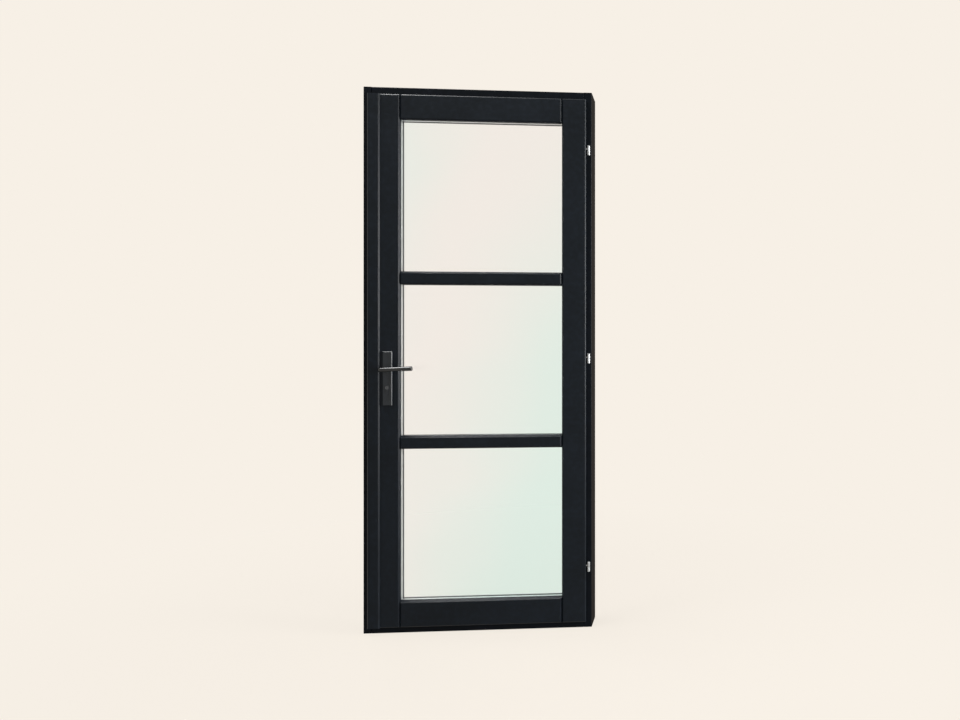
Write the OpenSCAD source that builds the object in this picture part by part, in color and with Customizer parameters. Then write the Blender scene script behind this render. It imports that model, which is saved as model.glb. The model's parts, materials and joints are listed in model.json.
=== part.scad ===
// Glazed outward-opening door in its frame. Millimetres, +Z up.
// +X is the hinge side, -Y the outside. The origin is on the floor, midway between the jambs
// and midway through the depth of the frame.

/* [Frame] */
// Overall width of the frame
frame_w = 860; // [760:1:1100]
// Overall height of the frame
frame_h = 2090; // [1990:1:2390]
// Depth of the frame, front to back
frame_d = 115; // [100:1:160]
// Face width of a jamb in front of its stop
jamb_face = 29; // [29:1:50]
// Face height of the head in front of its stop
head_face = 38; // [32:1:60]
// Face height of the threshold at its stop
sill_face = 32; // [28:1:50]
// How far the stops stand out from the rebate
stop_h = 12; // [10:0.5:18]
// Depth of the rebate that takes the leaf
rebate_d = 45; // [44:1:52]
// Fall of the threshold towards the outside
sill_fall = 3; // [1:0.5:6]
// Chamfer on the front outer edges of the frame
frame_arris = 2; // [1:0.5:4]
// Chamfer where head and threshold butt against the jambs
joint_v = 3; // [1:0.5:5]
// Diameter of the wall fixing holes in the jambs
fixing_d = 8; // [6:0.5:10]
// Distance of the outer fixing holes from floor and top
fixing_end = 200; // [140:5:300]
// Distance between the two inner fixing holes
fixing_inner = 590; // [400:10:800]
// Width of the weather seal on the stops
seal_w = 8; // [5:0.5:8]

/* [Leaf] */
// Thickness of the leaf
leaf_t = 56; // [54:1:68]
// Overlap of the leaf's lip on the frame
lip_lap = 8; // [8:0.5:12]
// Gap round the leaf inside the rebate
leaf_gap = 4; // [3.5:0.5:6]
// Gap between lip and frame face
face_gap = 2; // [1:0.5:3]
// Gap between leaf and stop, filled by the seal
stop_gap = 4; // [3:0.5:5]
// Width of the lock stile, lip edge to sight line
lock_stile_w = 118; // [117:1:150]
// Width of the hinge stile, lip edge to sight line
hinge_stile_w = 92; // [84:1:130]
// Height of the top rail, lip edge to sight line
top_rail_w = 95; // [84:1:140]
// Height of the bottom rail, lip edge to sight line
bottom_rail_w = 101; // [88:1:260]
// Height of a glazing bar, sight line to sight line
bar_h = 50; // [46:1:80]
// Chamfer along the inner edges and at the joints of the leaf
chamfer_w = 5.5; // [3:0.5:7]
// Height of the weathered slope below each pane
slope_w = 8; // [6:0.5:14]
// Depth of the weathered slope below each pane
slope_d = 12; // [8:0.5:13]
// Chamfer round the outer edge of the lip
lip_arris = 3.5; // [1:0.5:4]
// Length of the tenons in the stiles
tenon_l = 34; // [20:1:45]
// Thickness of the tenons
tenon_t = 14; // [10:1:20]
// Height that a rail's tenon leaves free at the leaf's end
haunch_h = 24; // [15:1:35]
// Width of the cover strip on the lock edge
strip_w = 46; // [36:1:46]
// Thickness of the cover strip
strip_t = 7; // [5:0.5:12]
// Width of the bevel on the cover strip
strip_bevel_w = 5; // [3:0.5:12]
// Depth of the bevel on the cover strip
strip_bevel_d = 5; // [2:0.5:5]

/* [Glazing] */
// Depth from the leaf's face to the glazing seat
glass_setback = 14; // [13.5:0.5:16]
// Height of the glazing seat beyond the sight line
glass_seat = 15; // [12:0.5:18]
// Thickness of a sheet of glass
glass_t = 4; // [3:0.5:5]
// Width of the sealed space between the sheets
cavity = 16; // [12:1:18]
// Clearance round the edge of the glass
glass_edge = 4; // [3:0.5:6]
// Thickness of the glazing seal
glazing_seal_t = 3; // [2:0.5:4]
// Part of the glazing seal that shows inside the sight line
glazing_seal_show = 0.5; // [0.5:0.5:3]
// Width of the spacer between the sheets
spacer_w = 10; // [8:0.5:15]
// Bevel on the inside edge of the glazing beads
bead_bevel = 5; // [2:0.5:7]
// Length of a setting block
block_l = 100; // [50:5:120]

/* [Handle] */
// Height of the lever's spindle above the floor
spindle_z = 1010; // [950:1:1080]
// Distance of the spindle from the edge of the leaf body
backset = 63; // [62:1:64]
// Distance of the lock cylinder below the spindle
cylinder_drop = 70; // [70:1:92]
// Width of the handle plates
plate_w = 35; // [32:1:38]
// Height of the handle plates, which reach as far above the spindle as below the cylinder
plate_h = 206; // [180:1:260]
// Thickness of the handle plates
plate_t = 8; // [6:0.5:10]
// Distance of a plate screw from the plate's end
plate_screw_end = 13; // [8:0.5:20]
// Chamfer round the face of the handle plates
plate_chamfer = 2; // [0.5:0.5:3]
// Side of the square spindle
spindle_s = 8; // [7:0.5:9]
// Diameter of the levers' necks at the plates
neck_d = 18; // [16:0.5:20]
// Distance of the outside grip's axis from its plate's face
grip_off = 46; // [40:1:60]
// Diameter of the grip at the neck
grip_d = 15; // [13:0.5:16]
// Diameter of the grip at its free end
grip_end_d = 17.5; // [15:0.5:19]
// Reach of the grip from the spindle to its free end
grip_l = 107; // [95:1:130]
// Reach of the grip behind the spindle
grip_back = 14; // [10:0.5:18]
// Slope of the outside grip, up towards its free end, in degrees
grip_slope = 2.2; // [0:0.1:4]
// Height of the olive-shaped inside grip
olive_h = 66; // [52:1:80]
// Diameter of the olive at its middle
olive_d = 20; // [18:0.5:24]
// Diameter of the olive at its ends
olive_end_d = 11; // [8:0.5:13]
// Distance of the olive's axis from its plate's face
olive_off = 36; // [34:1:46]

/* [Lock] */
// Thickness of the lock case
case_t = 16; // [15:0.5:18]
// Wall of the lock case
case_wall = 1.5; // [1:0.25:2]
// Distance of the case's ends from the plate screws
case_screw_gap = 12; // [8:0.5:20]
// Depth of the case behind the spindle
case_back = 24; // [22:0.5:26]
// Width of the long plate in the leaf's edge
edge_plate_w = 20; // [18:1:24]
// Thickness of the long plate in the leaf's edge
edge_plate_t = 3; // [2:0.5:3.5]
// Distance of the edge plate from the ends of the leaf body
edge_end = 90; // [60:5:140]
// Width of the drive bar behind the edge plate
drive_bar_w = 14; // [13:0.5:15]
// Thickness of the drive bar
drive_bar_t = 3; // [2:0.5:3.5]
// Number of teeth on the drive gear
gear_teeth = 10; // [10:1:11]
// Module of the drive gear
gear_m = 2.3; // [2.1:0.1:2.4]
// Thickness of the drive gear
gear_t = 5; // [4:0.5:6]
// Diameter of a roller cam
cam_d = 10; // [8:0.5:11]
// Reach of a roller cam into the jamb
cam_reach = 4.5; // [3:0.5:5]
// Height of the dead bolt
bolt_h = 22; // [18:1:22]
// Thickness of the dead bolt
bolt_t = 8; // [6:0.5:8]
// Throw of the dead bolt
bolt_throw = 20; // [16:1:20]
// Diameter of the round part of the lock cylinder
cylinder_d = 17; // [17:0.5:17.5]
// Diameter of the turning plug
plug_d = 13; // [12:0.5:13.5]

/* [Hinges] */
// Diameter of a hinge barrel
knuckle_d = 11; // [10:0.5:13]
// Length of the leaf's knuckle
leaf_knuckle_l = 22; // [18:1:30]
// Length of the frame's knuckle
frame_knuckle_l = 18; // [15:1:30]
// Diameter of the hinge pin
pin_d = 6; // [5:0.5:7]
// Diameter of the hinge arms that screw into the wood
arm_d = 5; // [4:0.5:6]
// Length of a hinge arm beyond its barrel
arm_l = 46; // [36:1:60]
// Distance of the hinge axis from the leaf's lip edge
hinge_out = 10; // [10:0.5:12]
// Distance of the bottom hinge from the leaf's lower edge
hinge_low = 214; // [140:1:300]
// Distance of the top hinge from the leaf's upper edge
hinge_high = 198; // [140:1:300]

/* [Hidden] */
$fn = 48;
overrun = 1;
seat_clear = 0.3;
fit_clear = 0.1;
run_clear = 0.05;

// Planes through the depth of the door
front_y = -frame_d / 2;
back_y = frame_d / 2;
stop_y = front_y + rebate_d;
leaf_back_y = stop_y - stop_gap;
leaf_front_y = leaf_back_y - leaf_t;
lip_back_y = front_y - face_gap;
lip_t = lip_back_y - leaf_front_y;
lock_y = (lip_back_y + leaf_back_y) / 2;

// Edges of frame and leaf
half_w = frame_w / 2;
jamb_x = half_w - jamb_face;
stop_x = jamb_x - stop_h;
lip_x = jamb_x + lip_lap;
body_x = jamb_x - leaf_gap;
lip_step = lip_lap + leaf_gap;
lip_z0 = sill_face - lip_lap;
lip_z1 = frame_h - head_face + lip_lap;
body_z0 = lip_z0 + lip_step;
body_z1 = lip_z1 - lip_step;
fixing_y = (stop_y + back_y) / 2;
fixing_zs = [fixing_end, (frame_h - fixing_inner) / 2, (frame_h + fixing_inner) / 2, frame_h - fixing_end];

// Sight lines and panes, counted from below
pane_count = 3;
sight_x0 = -lip_x + lock_stile_w;
sight_x1 = lip_x - hinge_stile_w;
sight_z0 = lip_z0 + bottom_rail_w;
sight_z1 = lip_z1 - top_rail_w;
pane_h = (sight_z1 - sight_z0 - (pane_count - 1) * bar_h) / pane_count;
pane_pitch = pane_h + bar_h;
pane_lap = glass_seat - glass_edge;
unit_y = leaf_front_y + glass_setback + glazing_seal_t;
inner_sheet_y = unit_y + glass_t + cavity;
unit_back_y = inner_sheet_y + glass_t;
block_shares = [0.2, 0.8];

// Tenons
tenon_y0 = leaf_front_y + (glass_setback + leaf_t - tenon_t) / 2;
seat_x0 = sight_x0 - glass_seat;
seat_x1 = sight_x1 + glass_seat;

// Lock, worked inwards from the leaf's edge
edge_x = -body_x;
plate_in_x = edge_x + edge_plate_t;
bar_x0 = plate_in_x + seat_clear;
bar_x1 = bar_x0 + drive_bar_t;
case_x0 = bar_x1 + seat_clear;
spindle_x = edge_x + backset;
case_x1 = spindle_x + case_back;
cylinder_z = spindle_z - cylinder_drop;
plate_over = (plate_h - cylinder_drop) / 2;
plate_z0 = cylinder_z - plate_over;
plate_z1 = spindle_z + plate_over;
plate_screw_zs = [plate_z0 + plate_screw_end, plate_z1 - plate_screw_end];
case_z0 = plate_screw_zs[0] + case_screw_gap;
case_z1 = plate_screw_zs[1] - case_screw_gap;
edge_z0 = body_z0 + edge_end;
edge_z1 = body_z1 - edge_end;
screw_d = 4;
screw_head_d = 8;
screw_head_h = 2.4;
screw_l = 26;
strike_screw_l = 18;
strike_head_h = 1.9;
low_screw_shares = [0.05, 0.65];
high_screw_shares = [0.1, 0.55, 0.96];
low_cam_share = 0.25;
high_cam_shares = [0.22, 0.8];
edge_screw_zs = concat(
    [for (s = low_screw_shares) edge_z0 + s * (case_z0 - edge_z0)],
    [for (s = high_screw_shares) case_z1 + s * (edge_z1 - case_z1)]
);
cam_zs = concat(
    [edge_z0 + low_cam_share * (case_z0 - edge_z0)],
    [for (s = high_cam_shares) case_z1 + s * (edge_z1 - case_z1)]
);
bar_end = 60;

// Drive gear and rack
tooth_angle = 25;
addendum_share = 0.8;
dedendum_share = 1;
hub_share = 0.95;
backlash = 0.2;
flank_steps = 5;
pitch_r = gear_m * gear_teeth / 2;
base_r = pitch_r * cos(tooth_angle);
tip_r = pitch_r + addendum_share * gear_m;
root_r = pitch_r - dedendum_share * gear_m;
hub_d = 2 * root_r * hub_share;
rack_pitch = PI * gear_m;
rack_x = spindle_x - pitch_r;
rack_teeth_below = 4;
rack_teeth_above = 1;
slide_t = 4;
travel = PI / 2 * pitch_r;

// Roller cams and their keeps
cam_stud_d = 6;
cam_x0 = -jamb_x - cam_reach;
cam_room = 1.5;
keep_wall = 1.5;
keep_end = 16;
keep_x0 = cam_x0 - cam_room - keep_wall;
keep_y1 = lock_y + cam_d / 2 + cam_room + keep_wall;

// Dead bolt, measured from the cylinder's axis
bolt_up = 15;
bolt_z0 = cylinder_z + bolt_up;
cam_arm_l = 13;
cam_arm_w = 6;
cam_ring_wall = 1.25;
cam_ring_d = plug_d + 2 * cam_ring_wall;
cam_l = 9.6;
bolt_tail_z0 = cylinder_z + cylinder_d / 2 + seat_clear + run_clear;
bolt_tail_l = 22;
notch_w = 13;
notch_x = spindle_x + bolt_throw / 2;
bolt_x0 = edge_x + seat_clear;
bolt_x1 = notch_x + bolt_tail_l / 2;
bolt_clear = 0.8;
strike_t = 2;
strike_w = 22;
strike_h = 70;
strike_mid_z = bolt_z0 + bolt_h / 2;
strike_screw_off = 26;
pocket_room = 3;

// Lock cylinder
cylinder_tail_w = 10;
cylinder_tail_l = 24.5;
cylinder_proud = 2;
cylinder_y0 = leaf_front_y - plate_t - cylinder_proud;
cylinder_y1 = leaf_back_y + plate_t + cylinder_proud;
cam_slot_drop = 8.5;
key_w = 2;
key_h = 8;
key_d = 22;
turn_d = 20;
turn_base_t = 3;
turn_blade_t = 8;
turn_blade_h = 26;
turn_blade_l = 15;

// Handle
collar_w = 4;
collar_t = 3;
neck_in = 6;
socket_l = 30;
grip_end_t = 2;
post_d = 9;
post_l = 14;
plate_screw_d = 5;
plate_screw_head_d = 9;
plate_screw_head_h = 3;
olive_bulge = (olive_d - olive_end_d) / 2;
olive_r = (pow(olive_h / 2, 2) + pow(olive_bulge, 2)) / (2 * olive_bulge);

// Hinges
hinge_x = lip_x + hinge_out;
hinge_y = lip_back_y - knuckle_d / 2;
hinge_z0 = lip_z0 + hinge_low;
hinge_z1 = lip_z1 - hinge_high;
hinge_zs = [hinge_z0, (hinge_z0 + hinge_z1) / 2, hinge_z1];
knuckle_chamfer = 1;
pin_cover = 3;
leaf_arm_up = 7;

paint_colour = "#23272b";
seal_colour = "#17191b";
glass_colour = "#cfe6dc";
spacer_colour = "#b9bdbf";
lock_colour = "#a7abae";
hinge_colour = "#b4b8bb";
fitting_colour = "#272b2e";
block_colour = "#4d5a55";

// Box between two corners
module block(low, high) {
    translate(low) cube(high - low);
}

// A flat outline in (y, z) drawn out along X
module along_x(x0, x1) {
    translate([x0, 0, 0]) rotate([90, 0, 90]) linear_extrude(x1 - x0) children();
}

// A flat outline in (x, z) drawn out along Y
module along_y(y0, y1) {
    translate([0, y1, 0]) rotate([90, 0, 0]) linear_extrude(y1 - y0) children();
}

// A flat outline in (x, y) drawn out along Z
module along_z(z0, z1) {
    translate([0, 0, z0]) linear_extrude(z1 - z0) children();
}

module rod_x(x0, x1, y, z, d) {
    translate([x0, y, z]) rotate([0, 90, 0]) cylinder(h = x1 - x0, d = d);
}

module rod_y(x, y0, y1, z, d) {
    translate([x, y0, z]) rotate([-90, 0, 0]) cylinder(h = y1 - y0, d = d);
}

module flip_x() {
    mirror([1, 0, 0]) children();
}

// Countersunk screw: head flush at the origin, shank along +X
module screw_x(x, y, z, l, d, head_d, head_h, grow = 0) {
    translate([x, y, z]) rotate([0, 90, 0]) {
        cylinder(h = head_h, d1 = head_d + 2 * grow, d2 = d + 2 * grow);
        cylinder(h = l + grow, d = d + 2 * grow);
    }
}

// Frame

module jamb_blank() {
    difference() {
        along_z(0, frame_h)
            polygon([
                [-half_w, front_y + frame_arris],
                [-half_w + frame_arris, front_y],
                [-jamb_x, front_y],
                [-jamb_x, stop_y],
                [-stop_x, stop_y],
                [-stop_x, back_y],
                [-half_w, back_y]
            ]);
        for (z = fixing_zs)
            rod_x(-half_w - overrun, -stop_x + overrun, fixing_y, z, fixing_d);
    }
}

module lock_jamb() {
    color(paint_colour) difference() {
        jamb_blank();
        for (z = cam_zs)
            keep_box(z, overrun);
        block(
            [-jamb_x - strike_t, lock_y - strike_w / 2, strike_mid_z - strike_h / 2],
            [-jamb_x + overrun, lock_y + strike_w / 2, strike_mid_z + strike_h / 2]
        );
        bolt_space(bolt_clear, -bolt_throw - pocket_room);
        strike_screw_set(fit_clear);
    }
}

module hinge_jamb() {
    color(paint_colour) difference() {
        flip_x() jamb_blank();
        for (z = hinge_zs)
            frame_arm(z, fit_clear);
    }
}

// The square of a jamb's stop, and a chamfer on the butt joint
module jamb_cope() {
    block([-half_w, stop_y, -overrun], [-stop_x, back_y + overrun, frame_h + overrun]);
    along_z(-overrun, frame_h + overrun)
        polygon([
            [-jamb_x - overrun, front_y - overrun],
            [-jamb_x + joint_v + overrun, front_y - overrun],
            [-jamb_x - overrun, front_y + joint_v + overrun]
        ]);
}

module frame_head() {
    color(paint_colour) difference() {
        along_x(-jamb_x, jamb_x)
            polygon([
                [front_y, frame_h - frame_arris],
                [front_y, frame_h - head_face],
                [stop_y, frame_h - head_face],
                [stop_y, frame_h - head_face - stop_h],
                [back_y, frame_h - head_face - stop_h],
                [back_y, frame_h],
                [front_y + frame_arris, frame_h]
            ]);
        jamb_cope();
        flip_x() jamb_cope();
    }
}

module threshold() {
    color(paint_colour) difference() {
        along_x(-jamb_x, jamb_x)
            polygon([
                [front_y, 0],
                [back_y, 0],
                [back_y, sill_face + stop_h],
                [stop_y, sill_face + stop_h],
                [stop_y, sill_face],
                [front_y, sill_face - sill_fall]
            ]);
        jamb_cope();
        flip_x() jamb_cope();
    }
}

module frame_seal() {
    low_z = sill_face + stop_h;
    high_z = frame_h - head_face - stop_h;
    color(seal_colour) difference() {
        block(
            [-stop_x - seal_w, leaf_back_y + seat_clear, low_z - seal_w],
            [stop_x + seal_w, stop_y, high_z + seal_w]
        );
        block([-stop_x, leaf_back_y - overrun, low_z], [stop_x, stop_y + overrun, high_z]);
    }
}

module strike_plate() {
    color(lock_colour) difference() {
        block(
            [-jamb_x - strike_t, lock_y - strike_w / 2, strike_mid_z - strike_h / 2],
            [-jamb_x, lock_y + strike_w / 2, strike_mid_z + strike_h / 2]
        );
        bolt_space(bolt_clear, -bolt_throw - pocket_room);
        strike_screw_set(fit_clear);
    }
}

// Outside of a keep, for the piece and for its notch in the jamb
module keep_box(z, front_extra = 0) {
    block(
        [keep_x0, front_y - front_extra, z - keep_end],
        [-jamb_x + front_extra, keep_y1, z + travel + keep_end]
    );
}

// A cam enters from the front at its lower place and slides up behind the keep's front wall
module cam_keeps() {
    room = cam_d / 2 + cam_room;
    color(lock_colour)
        for (z = cam_zs)
            difference() {
                keep_box(z);
                block(
                    [cam_x0 - cam_room, front_y - overrun, z - room],
                    [-jamb_x + overrun, lock_y + room, z + room]
                );
                block(
                    [cam_x0 - cam_room, lock_y - room, z],
                    [-jamb_x + overrun, lock_y + room, z + travel + room]
                );
                keep_screw_pair(z, fit_clear);
            }
}

module keep_screw_pair(z, grow) {
    for (end_z = [z - keep_end + screw_head_d / 2, z + travel + keep_end - screw_head_d / 2])
        flip_x() screw_x(jamb_x, lock_y, end_z, strike_screw_l, screw_d, screw_head_d, screw_head_h, grow);
}

module strike_screw_set(grow) {
    for (side = [-1, 1])
        flip_x() screw_x(
            jamb_x, lock_y, strike_mid_z + side * strike_screw_off, strike_screw_l,
            screw_d, screw_head_d, strike_head_h, grow
        );
    for (z = cam_zs)
        keep_screw_pair(z, grow);
}

module strike_screws() {
    color(lock_colour) strike_screw_set(0);
}

// Hinges

module frame_arm(z, grow = 0) {
    arm_z = z - knuckle_split() - frame_knuckle_l / 2;
    rod_y(hinge_x, hinge_y, hinge_y + arm_l + grow, arm_z, arm_d + 2 * grow);
}

module leaf_arm(z, grow = 0) {
    rod_x(hinge_x - arm_l - grow, hinge_x, hinge_y, z - knuckle_split() + leaf_arm_up, arm_d + 2 * grow);
}

// How far the parting of the two knuckles lies below a hinge's middle
function knuckle_split() = (leaf_knuckle_l - frame_knuckle_l) / 2;

module barrel(z0, z1) {
    translate([hinge_x, hinge_y, 0]) {
        translate([0, 0, z0 + knuckle_chamfer]) cylinder(h = z1 - z0 - 2 * knuckle_chamfer, d = knuckle_d);
        translate([0, 0, z0])
            cylinder(h = knuckle_chamfer, d1 = knuckle_d - 2 * knuckle_chamfer, d2 = knuckle_d);
        translate([0, 0, z1 - knuckle_chamfer])
            cylinder(h = knuckle_chamfer, d1 = knuckle_d, d2 = knuckle_d - 2 * knuckle_chamfer);
    }
}

module pin_hole(z0, z1, grow) {
    translate([hinge_x, hinge_y, z0]) cylinder(h = z1 - z0, d = pin_d + 2 * grow);
}

module lower_knuckle(i) {
    z = hinge_zs[i];
    top = z - knuckle_split() - seat_clear / 2;
    color(hinge_colour) difference() {
        union() {
            barrel(top - frame_knuckle_l, top);
            frame_arm(z);
        }
        pin_hole(top - frame_knuckle_l + pin_cover, top + overrun, 0);
    }
}

module upper_knuckle(i) {
    z = hinge_zs[i];
    foot = z - knuckle_split() + seat_clear / 2;
    color(hinge_colour) difference() {
        union() {
            barrel(foot, foot + leaf_knuckle_l);
            leaf_arm(z);
        }
        pin_hole(foot - overrun, foot + leaf_knuckle_l - pin_cover, run_clear);
    }
}

module lower_knuckle_bottom() {
    lower_knuckle(0);
}

module lower_knuckle_middle() {
    lower_knuckle(1);
}

module lower_knuckle_top() {
    lower_knuckle(2);
}

module upper_knuckle_bottom() {
    upper_knuckle(0);
}

module upper_knuckle_middle() {
    upper_knuckle(1);
}

module upper_knuckle_top() {
    upper_knuckle(2);
}

module hinge_pins() {
    color(lock_colour)
        for (z = hinge_zs)
            pin_hole(
                z - knuckle_split() - seat_clear / 2 - frame_knuckle_l + pin_cover,
                z - knuckle_split() + seat_clear / 2 + leaf_knuckle_l - pin_cover - seat_clear,
                0
            );
}

// Leaf woodwork

// Section of an outer member: distance in from the lip edge, distance back from the face
function member_outline(w, cut_w, cut_d) = [
    [lip_arris, 0],
    [0, lip_arris],
    [0, lip_t],
    [lip_step, lip_t],
    [lip_step, leaf_t],
    [w - glass_seat, leaf_t],
    [w - glass_seat, glass_setback],
    [w, glass_setback],
    [w, cut_d],
    [w - cut_w, 0]
];

// The whole leaf's outline from the side, lipped and chamfered at top and bottom
module leaf_block() {
    along_x(-lip_x, lip_x)
        translate([leaf_front_y, 0])
            polygon([
                [0, lip_z0 + lip_arris],
                [lip_arris, lip_z0],
                [lip_t, lip_z0],
                [lip_t, body_z0],
                [leaf_t, body_z0],
                [leaf_t, body_z1],
                [lip_t, body_z1],
                [lip_t, lip_z1],
                [lip_arris, lip_z1],
                [0, lip_z1 - lip_arris]
            ]);
}

module stile_blank(w) {
    intersection() {
        leaf_block();
        along_z(lip_z0, lip_z1)
            translate([-lip_x, leaf_front_y])
                polygon(member_outline(w, chamfer_w, chamfer_w));
    }
}

// Tenons at both ends of a cross member
module tenon_pair(z0, z1, grow = 0) {
    for (ends = [[seat_x0 - tenon_l - grow, seat_x0 + grow], [seat_x1 - grow, seat_x1 + tenon_l + grow]])
        block(
            [ends[0], tenon_y0 - grow, z0 - grow],
            [ends[1], tenon_y0 + tenon_t + grow, z1 + grow]
        );
}

function bar_z0(i) = sight_z0 + pane_h + i * pane_pitch;

module all_tenons(grow) {
    tenon_pair(body_z0 + haunch_h, sight_z0 - glass_seat, grow);
    tenon_pair(sight_z1 + glass_seat, body_z1 - haunch_h, grow);
    for (i = [0, 1])
        tenon_pair(bar_z0(i) + glass_seat, bar_z0(i) + bar_h - glass_seat, grow);
}

// Room for a stile in front of the glazing seat, with the chamfer of the joint
module stile_cope(w) {
    along_z(lip_z0 - overrun, lip_z1 + overrun)
        translate([-lip_x, leaf_front_y])
            polygon([
                [w - glass_seat - overrun, -overrun],
                [w + chamfer_w + overrun, -overrun],
                [w, chamfer_w],
                [w, glass_setback],
                [w - glass_seat - overrun, glass_setback]
            ]);
}

module cope_both_ends() {
    difference() {
        children();
        stile_cope(lock_stile_w);
        flip_x() stile_cope(hinge_stile_w);
    }
}

module lock_stile() {
    color(paint_colour) difference() {
        stile_blank(lock_stile_w);
        all_tenons(fit_clear);
        block(
            [edge_x - overrun, lock_y - edge_plate_w / 2 - fit_clear, edge_z0 - fit_clear],
            [plate_in_x, lock_y + edge_plate_w / 2 + fit_clear, edge_z1 + fit_clear]
        );
        block(
            [edge_x, lock_y - drive_bar_w / 2 - seat_clear, edge_z0 + bar_end / 2],
            [case_x0, lock_y + drive_bar_w / 2 + seat_clear, edge_z1 - bar_end / 2]
        );
        block(
            [edge_x, lock_y - case_t / 2 - fit_clear, case_z0 - fit_clear],
            [case_x1 + fit_clear, lock_y + case_t / 2 + fit_clear, case_z1 + fit_clear]
        );
        rod_y(spindle_x, leaf_front_y - overrun, leaf_back_y + overrun, spindle_z, neck_d + 2 * collar_w);
        cylinder_outline(leaf_front_y - overrun, leaf_back_y + overrun, seat_clear);
        for (z = plate_screw_zs) {
            rod_y(
                spindle_x, leaf_front_y - overrun, leaf_front_y + post_l + fit_clear,
                z, post_d + 2 * fit_clear
            );
            rod_y(spindle_x, leaf_front_y, leaf_back_y + overrun, z, plate_screw_d + 2 * fit_clear);
        }
        edge_screw_set(fit_clear);
    }
}

module hinge_stile() {
    color(paint_colour) difference() {
        flip_x() stile_blank(hinge_stile_w);
        all_tenons(fit_clear);
        for (z = hinge_zs)
            leaf_arm(z, fit_clear);
    }
}

module top_rail() {
    color(paint_colour) {
        cope_both_ends() intersection() {
            leaf_block();
            along_x(seat_x0, seat_x1)
                polygon([
                    for (p = member_outline(top_rail_w, chamfer_w, chamfer_w))
                        [leaf_front_y + p[1], lip_z1 - p[0]]
                ]);
        }
        tenon_pair(sight_z1 + glass_seat, body_z1 - haunch_h);
    }
}

module bottom_rail() {
    color(paint_colour) {
        cope_both_ends() intersection() {
            leaf_block();
            along_x(seat_x0, seat_x1)
                polygon([
                    for (p = member_outline(bottom_rail_w, slope_w, slope_d))
                        [leaf_front_y + p[1], lip_z0 + p[0]]
                ]);
        }
        tenon_pair(body_z0 + haunch_h, sight_z0 - glass_seat);
    }
}

module glazing_bar(i) {
    z0 = bar_z0(i);
    z1 = z0 + bar_h;
    color(paint_colour) {
        cope_both_ends()
            along_x(seat_x0, seat_x1)
                translate([leaf_front_y, 0])
                    polygon([
                        [0, z0 + chamfer_w],
                        [0, z1 - slope_w],
                        [slope_d, z1],
                        [glass_setback, z1],
                        [glass_setback, z1 - glass_seat],
                        [leaf_t, z1 - glass_seat],
                        [leaf_t, z0 + glass_seat],
                        [glass_setback, z0 + glass_seat],
                        [glass_setback, z0],
                        [chamfer_w, z0]
                    ]);
        tenon_pair(z0 + glass_seat, z1 - glass_seat);
    }
}

module upper_bar() {
    glazing_bar(1);
}

module lower_bar() {
    glazing_bar(0);
}

module cover_strip() {
    edge_t = strip_t - strip_bevel_d;
    color(paint_colour)
        along_z(lip_z0, lip_z1)
            translate([-lip_x, leaf_front_y])
                polygon([
                    [0, 0],
                    [0, lip_arris - strip_t],
                    [lip_arris, -strip_t],
                    [strip_w - strip_bevel_w, -strip_t],
                    [strip_w, -edge_t],
                    [strip_w, 0]
                ]);
}

// Glazing

function pane_z0(i) = sight_z0 + i * pane_pitch;

// A flat box over pane i that reaches past the sight lines
module pane_box(i, y0, y1, lap) {
    block(
        [sight_x0 - lap, y0, pane_z0(i) - lap],
        [sight_x1 + lap, y1, pane_z0(i) + pane_h + lap]
    );
}

module pane_ring(i, y0, y1, outer_lap, inner_lap) {
    difference() {
        pane_box(i, y0, y1, outer_lap);
        pane_box(i, y0 - overrun, y1 + overrun, inner_lap);
    }
}

module outer_sheet(i) {
    color(glass_colour, 0.4) pane_box(i, unit_y, unit_y + glass_t, pane_lap);
}

module inner_sheet(i) {
    color(glass_colour, 0.4) pane_box(i, inner_sheet_y, unit_back_y, pane_lap);
}

module spacer(i) {
    color(spacer_colour) pane_ring(i, unit_y + glass_t, inner_sheet_y, pane_lap, pane_lap - spacer_w);
}

module glazing_seal(i) {
    color(seal_colour) pane_ring(i, unit_y - glazing_seal_t, unit_y, pane_lap, -glazing_seal_show);
}

// A bead below pane i, mitred at both ends
module cross_bead(i) {
    z0 = pane_z0(i) - glass_seat;
    z1 = pane_z0(i);
    intersection() {
        along_x(seat_x0, seat_x1)
            polygon([
                [unit_back_y, z0],
                [leaf_back_y, z0],
                [leaf_back_y, z1 - bead_bevel],
                [leaf_back_y - bead_bevel, z1],
                [unit_back_y, z1]
            ]);
        along_y(unit_back_y, leaf_back_y)
            polygon([[seat_x0, z0], [seat_x1, z0], [sight_x1, z1], [sight_x0, z1]]);
    }
}

// A bead on the lock side of pane i, mitred at both ends
module upright_bead(i) {
    z0 = pane_z0(i);
    z1 = z0 + pane_h;
    intersection() {
        along_z(z0 - glass_seat, z1 + glass_seat)
            polygon([
                [seat_x0, unit_back_y],
                [seat_x0, leaf_back_y],
                [sight_x0 - bead_bevel, leaf_back_y],
                [sight_x0, leaf_back_y - bead_bevel],
                [sight_x0, unit_back_y]
            ]);
        along_y(unit_back_y, leaf_back_y)
            polygon([
                [seat_x0, z0 - glass_seat + fit_clear],
                [sight_x0, z0 + fit_clear],
                [sight_x0, z1 - fit_clear],
                [seat_x0, z1 + glass_seat - fit_clear]
            ]);
    }
}

module cross_beads(i) {
    color(paint_colour) {
        cross_bead(i);
        translate([0, 0, 2 * pane_z0(i) + pane_h]) mirror([0, 0, 1]) cross_bead(i);
    }
}

module upright_beads(i) {
    color(paint_colour) {
        upright_bead(i);
        translate([sight_x0 + sight_x1, 0, 0]) flip_x() upright_bead(i);
    }
}

module setting_blocks() {
    span = sight_x1 - sight_x0;
    color(block_colour)
        for (i = [0 : pane_count - 1], s = block_shares)
            block(
                [sight_x0 + s * span - block_l / 2, unit_y, pane_z0(i) - glass_seat],
                [sight_x0 + s * span + block_l / 2, unit_back_y, pane_z0(i) - pane_lap]
            );
}

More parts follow.
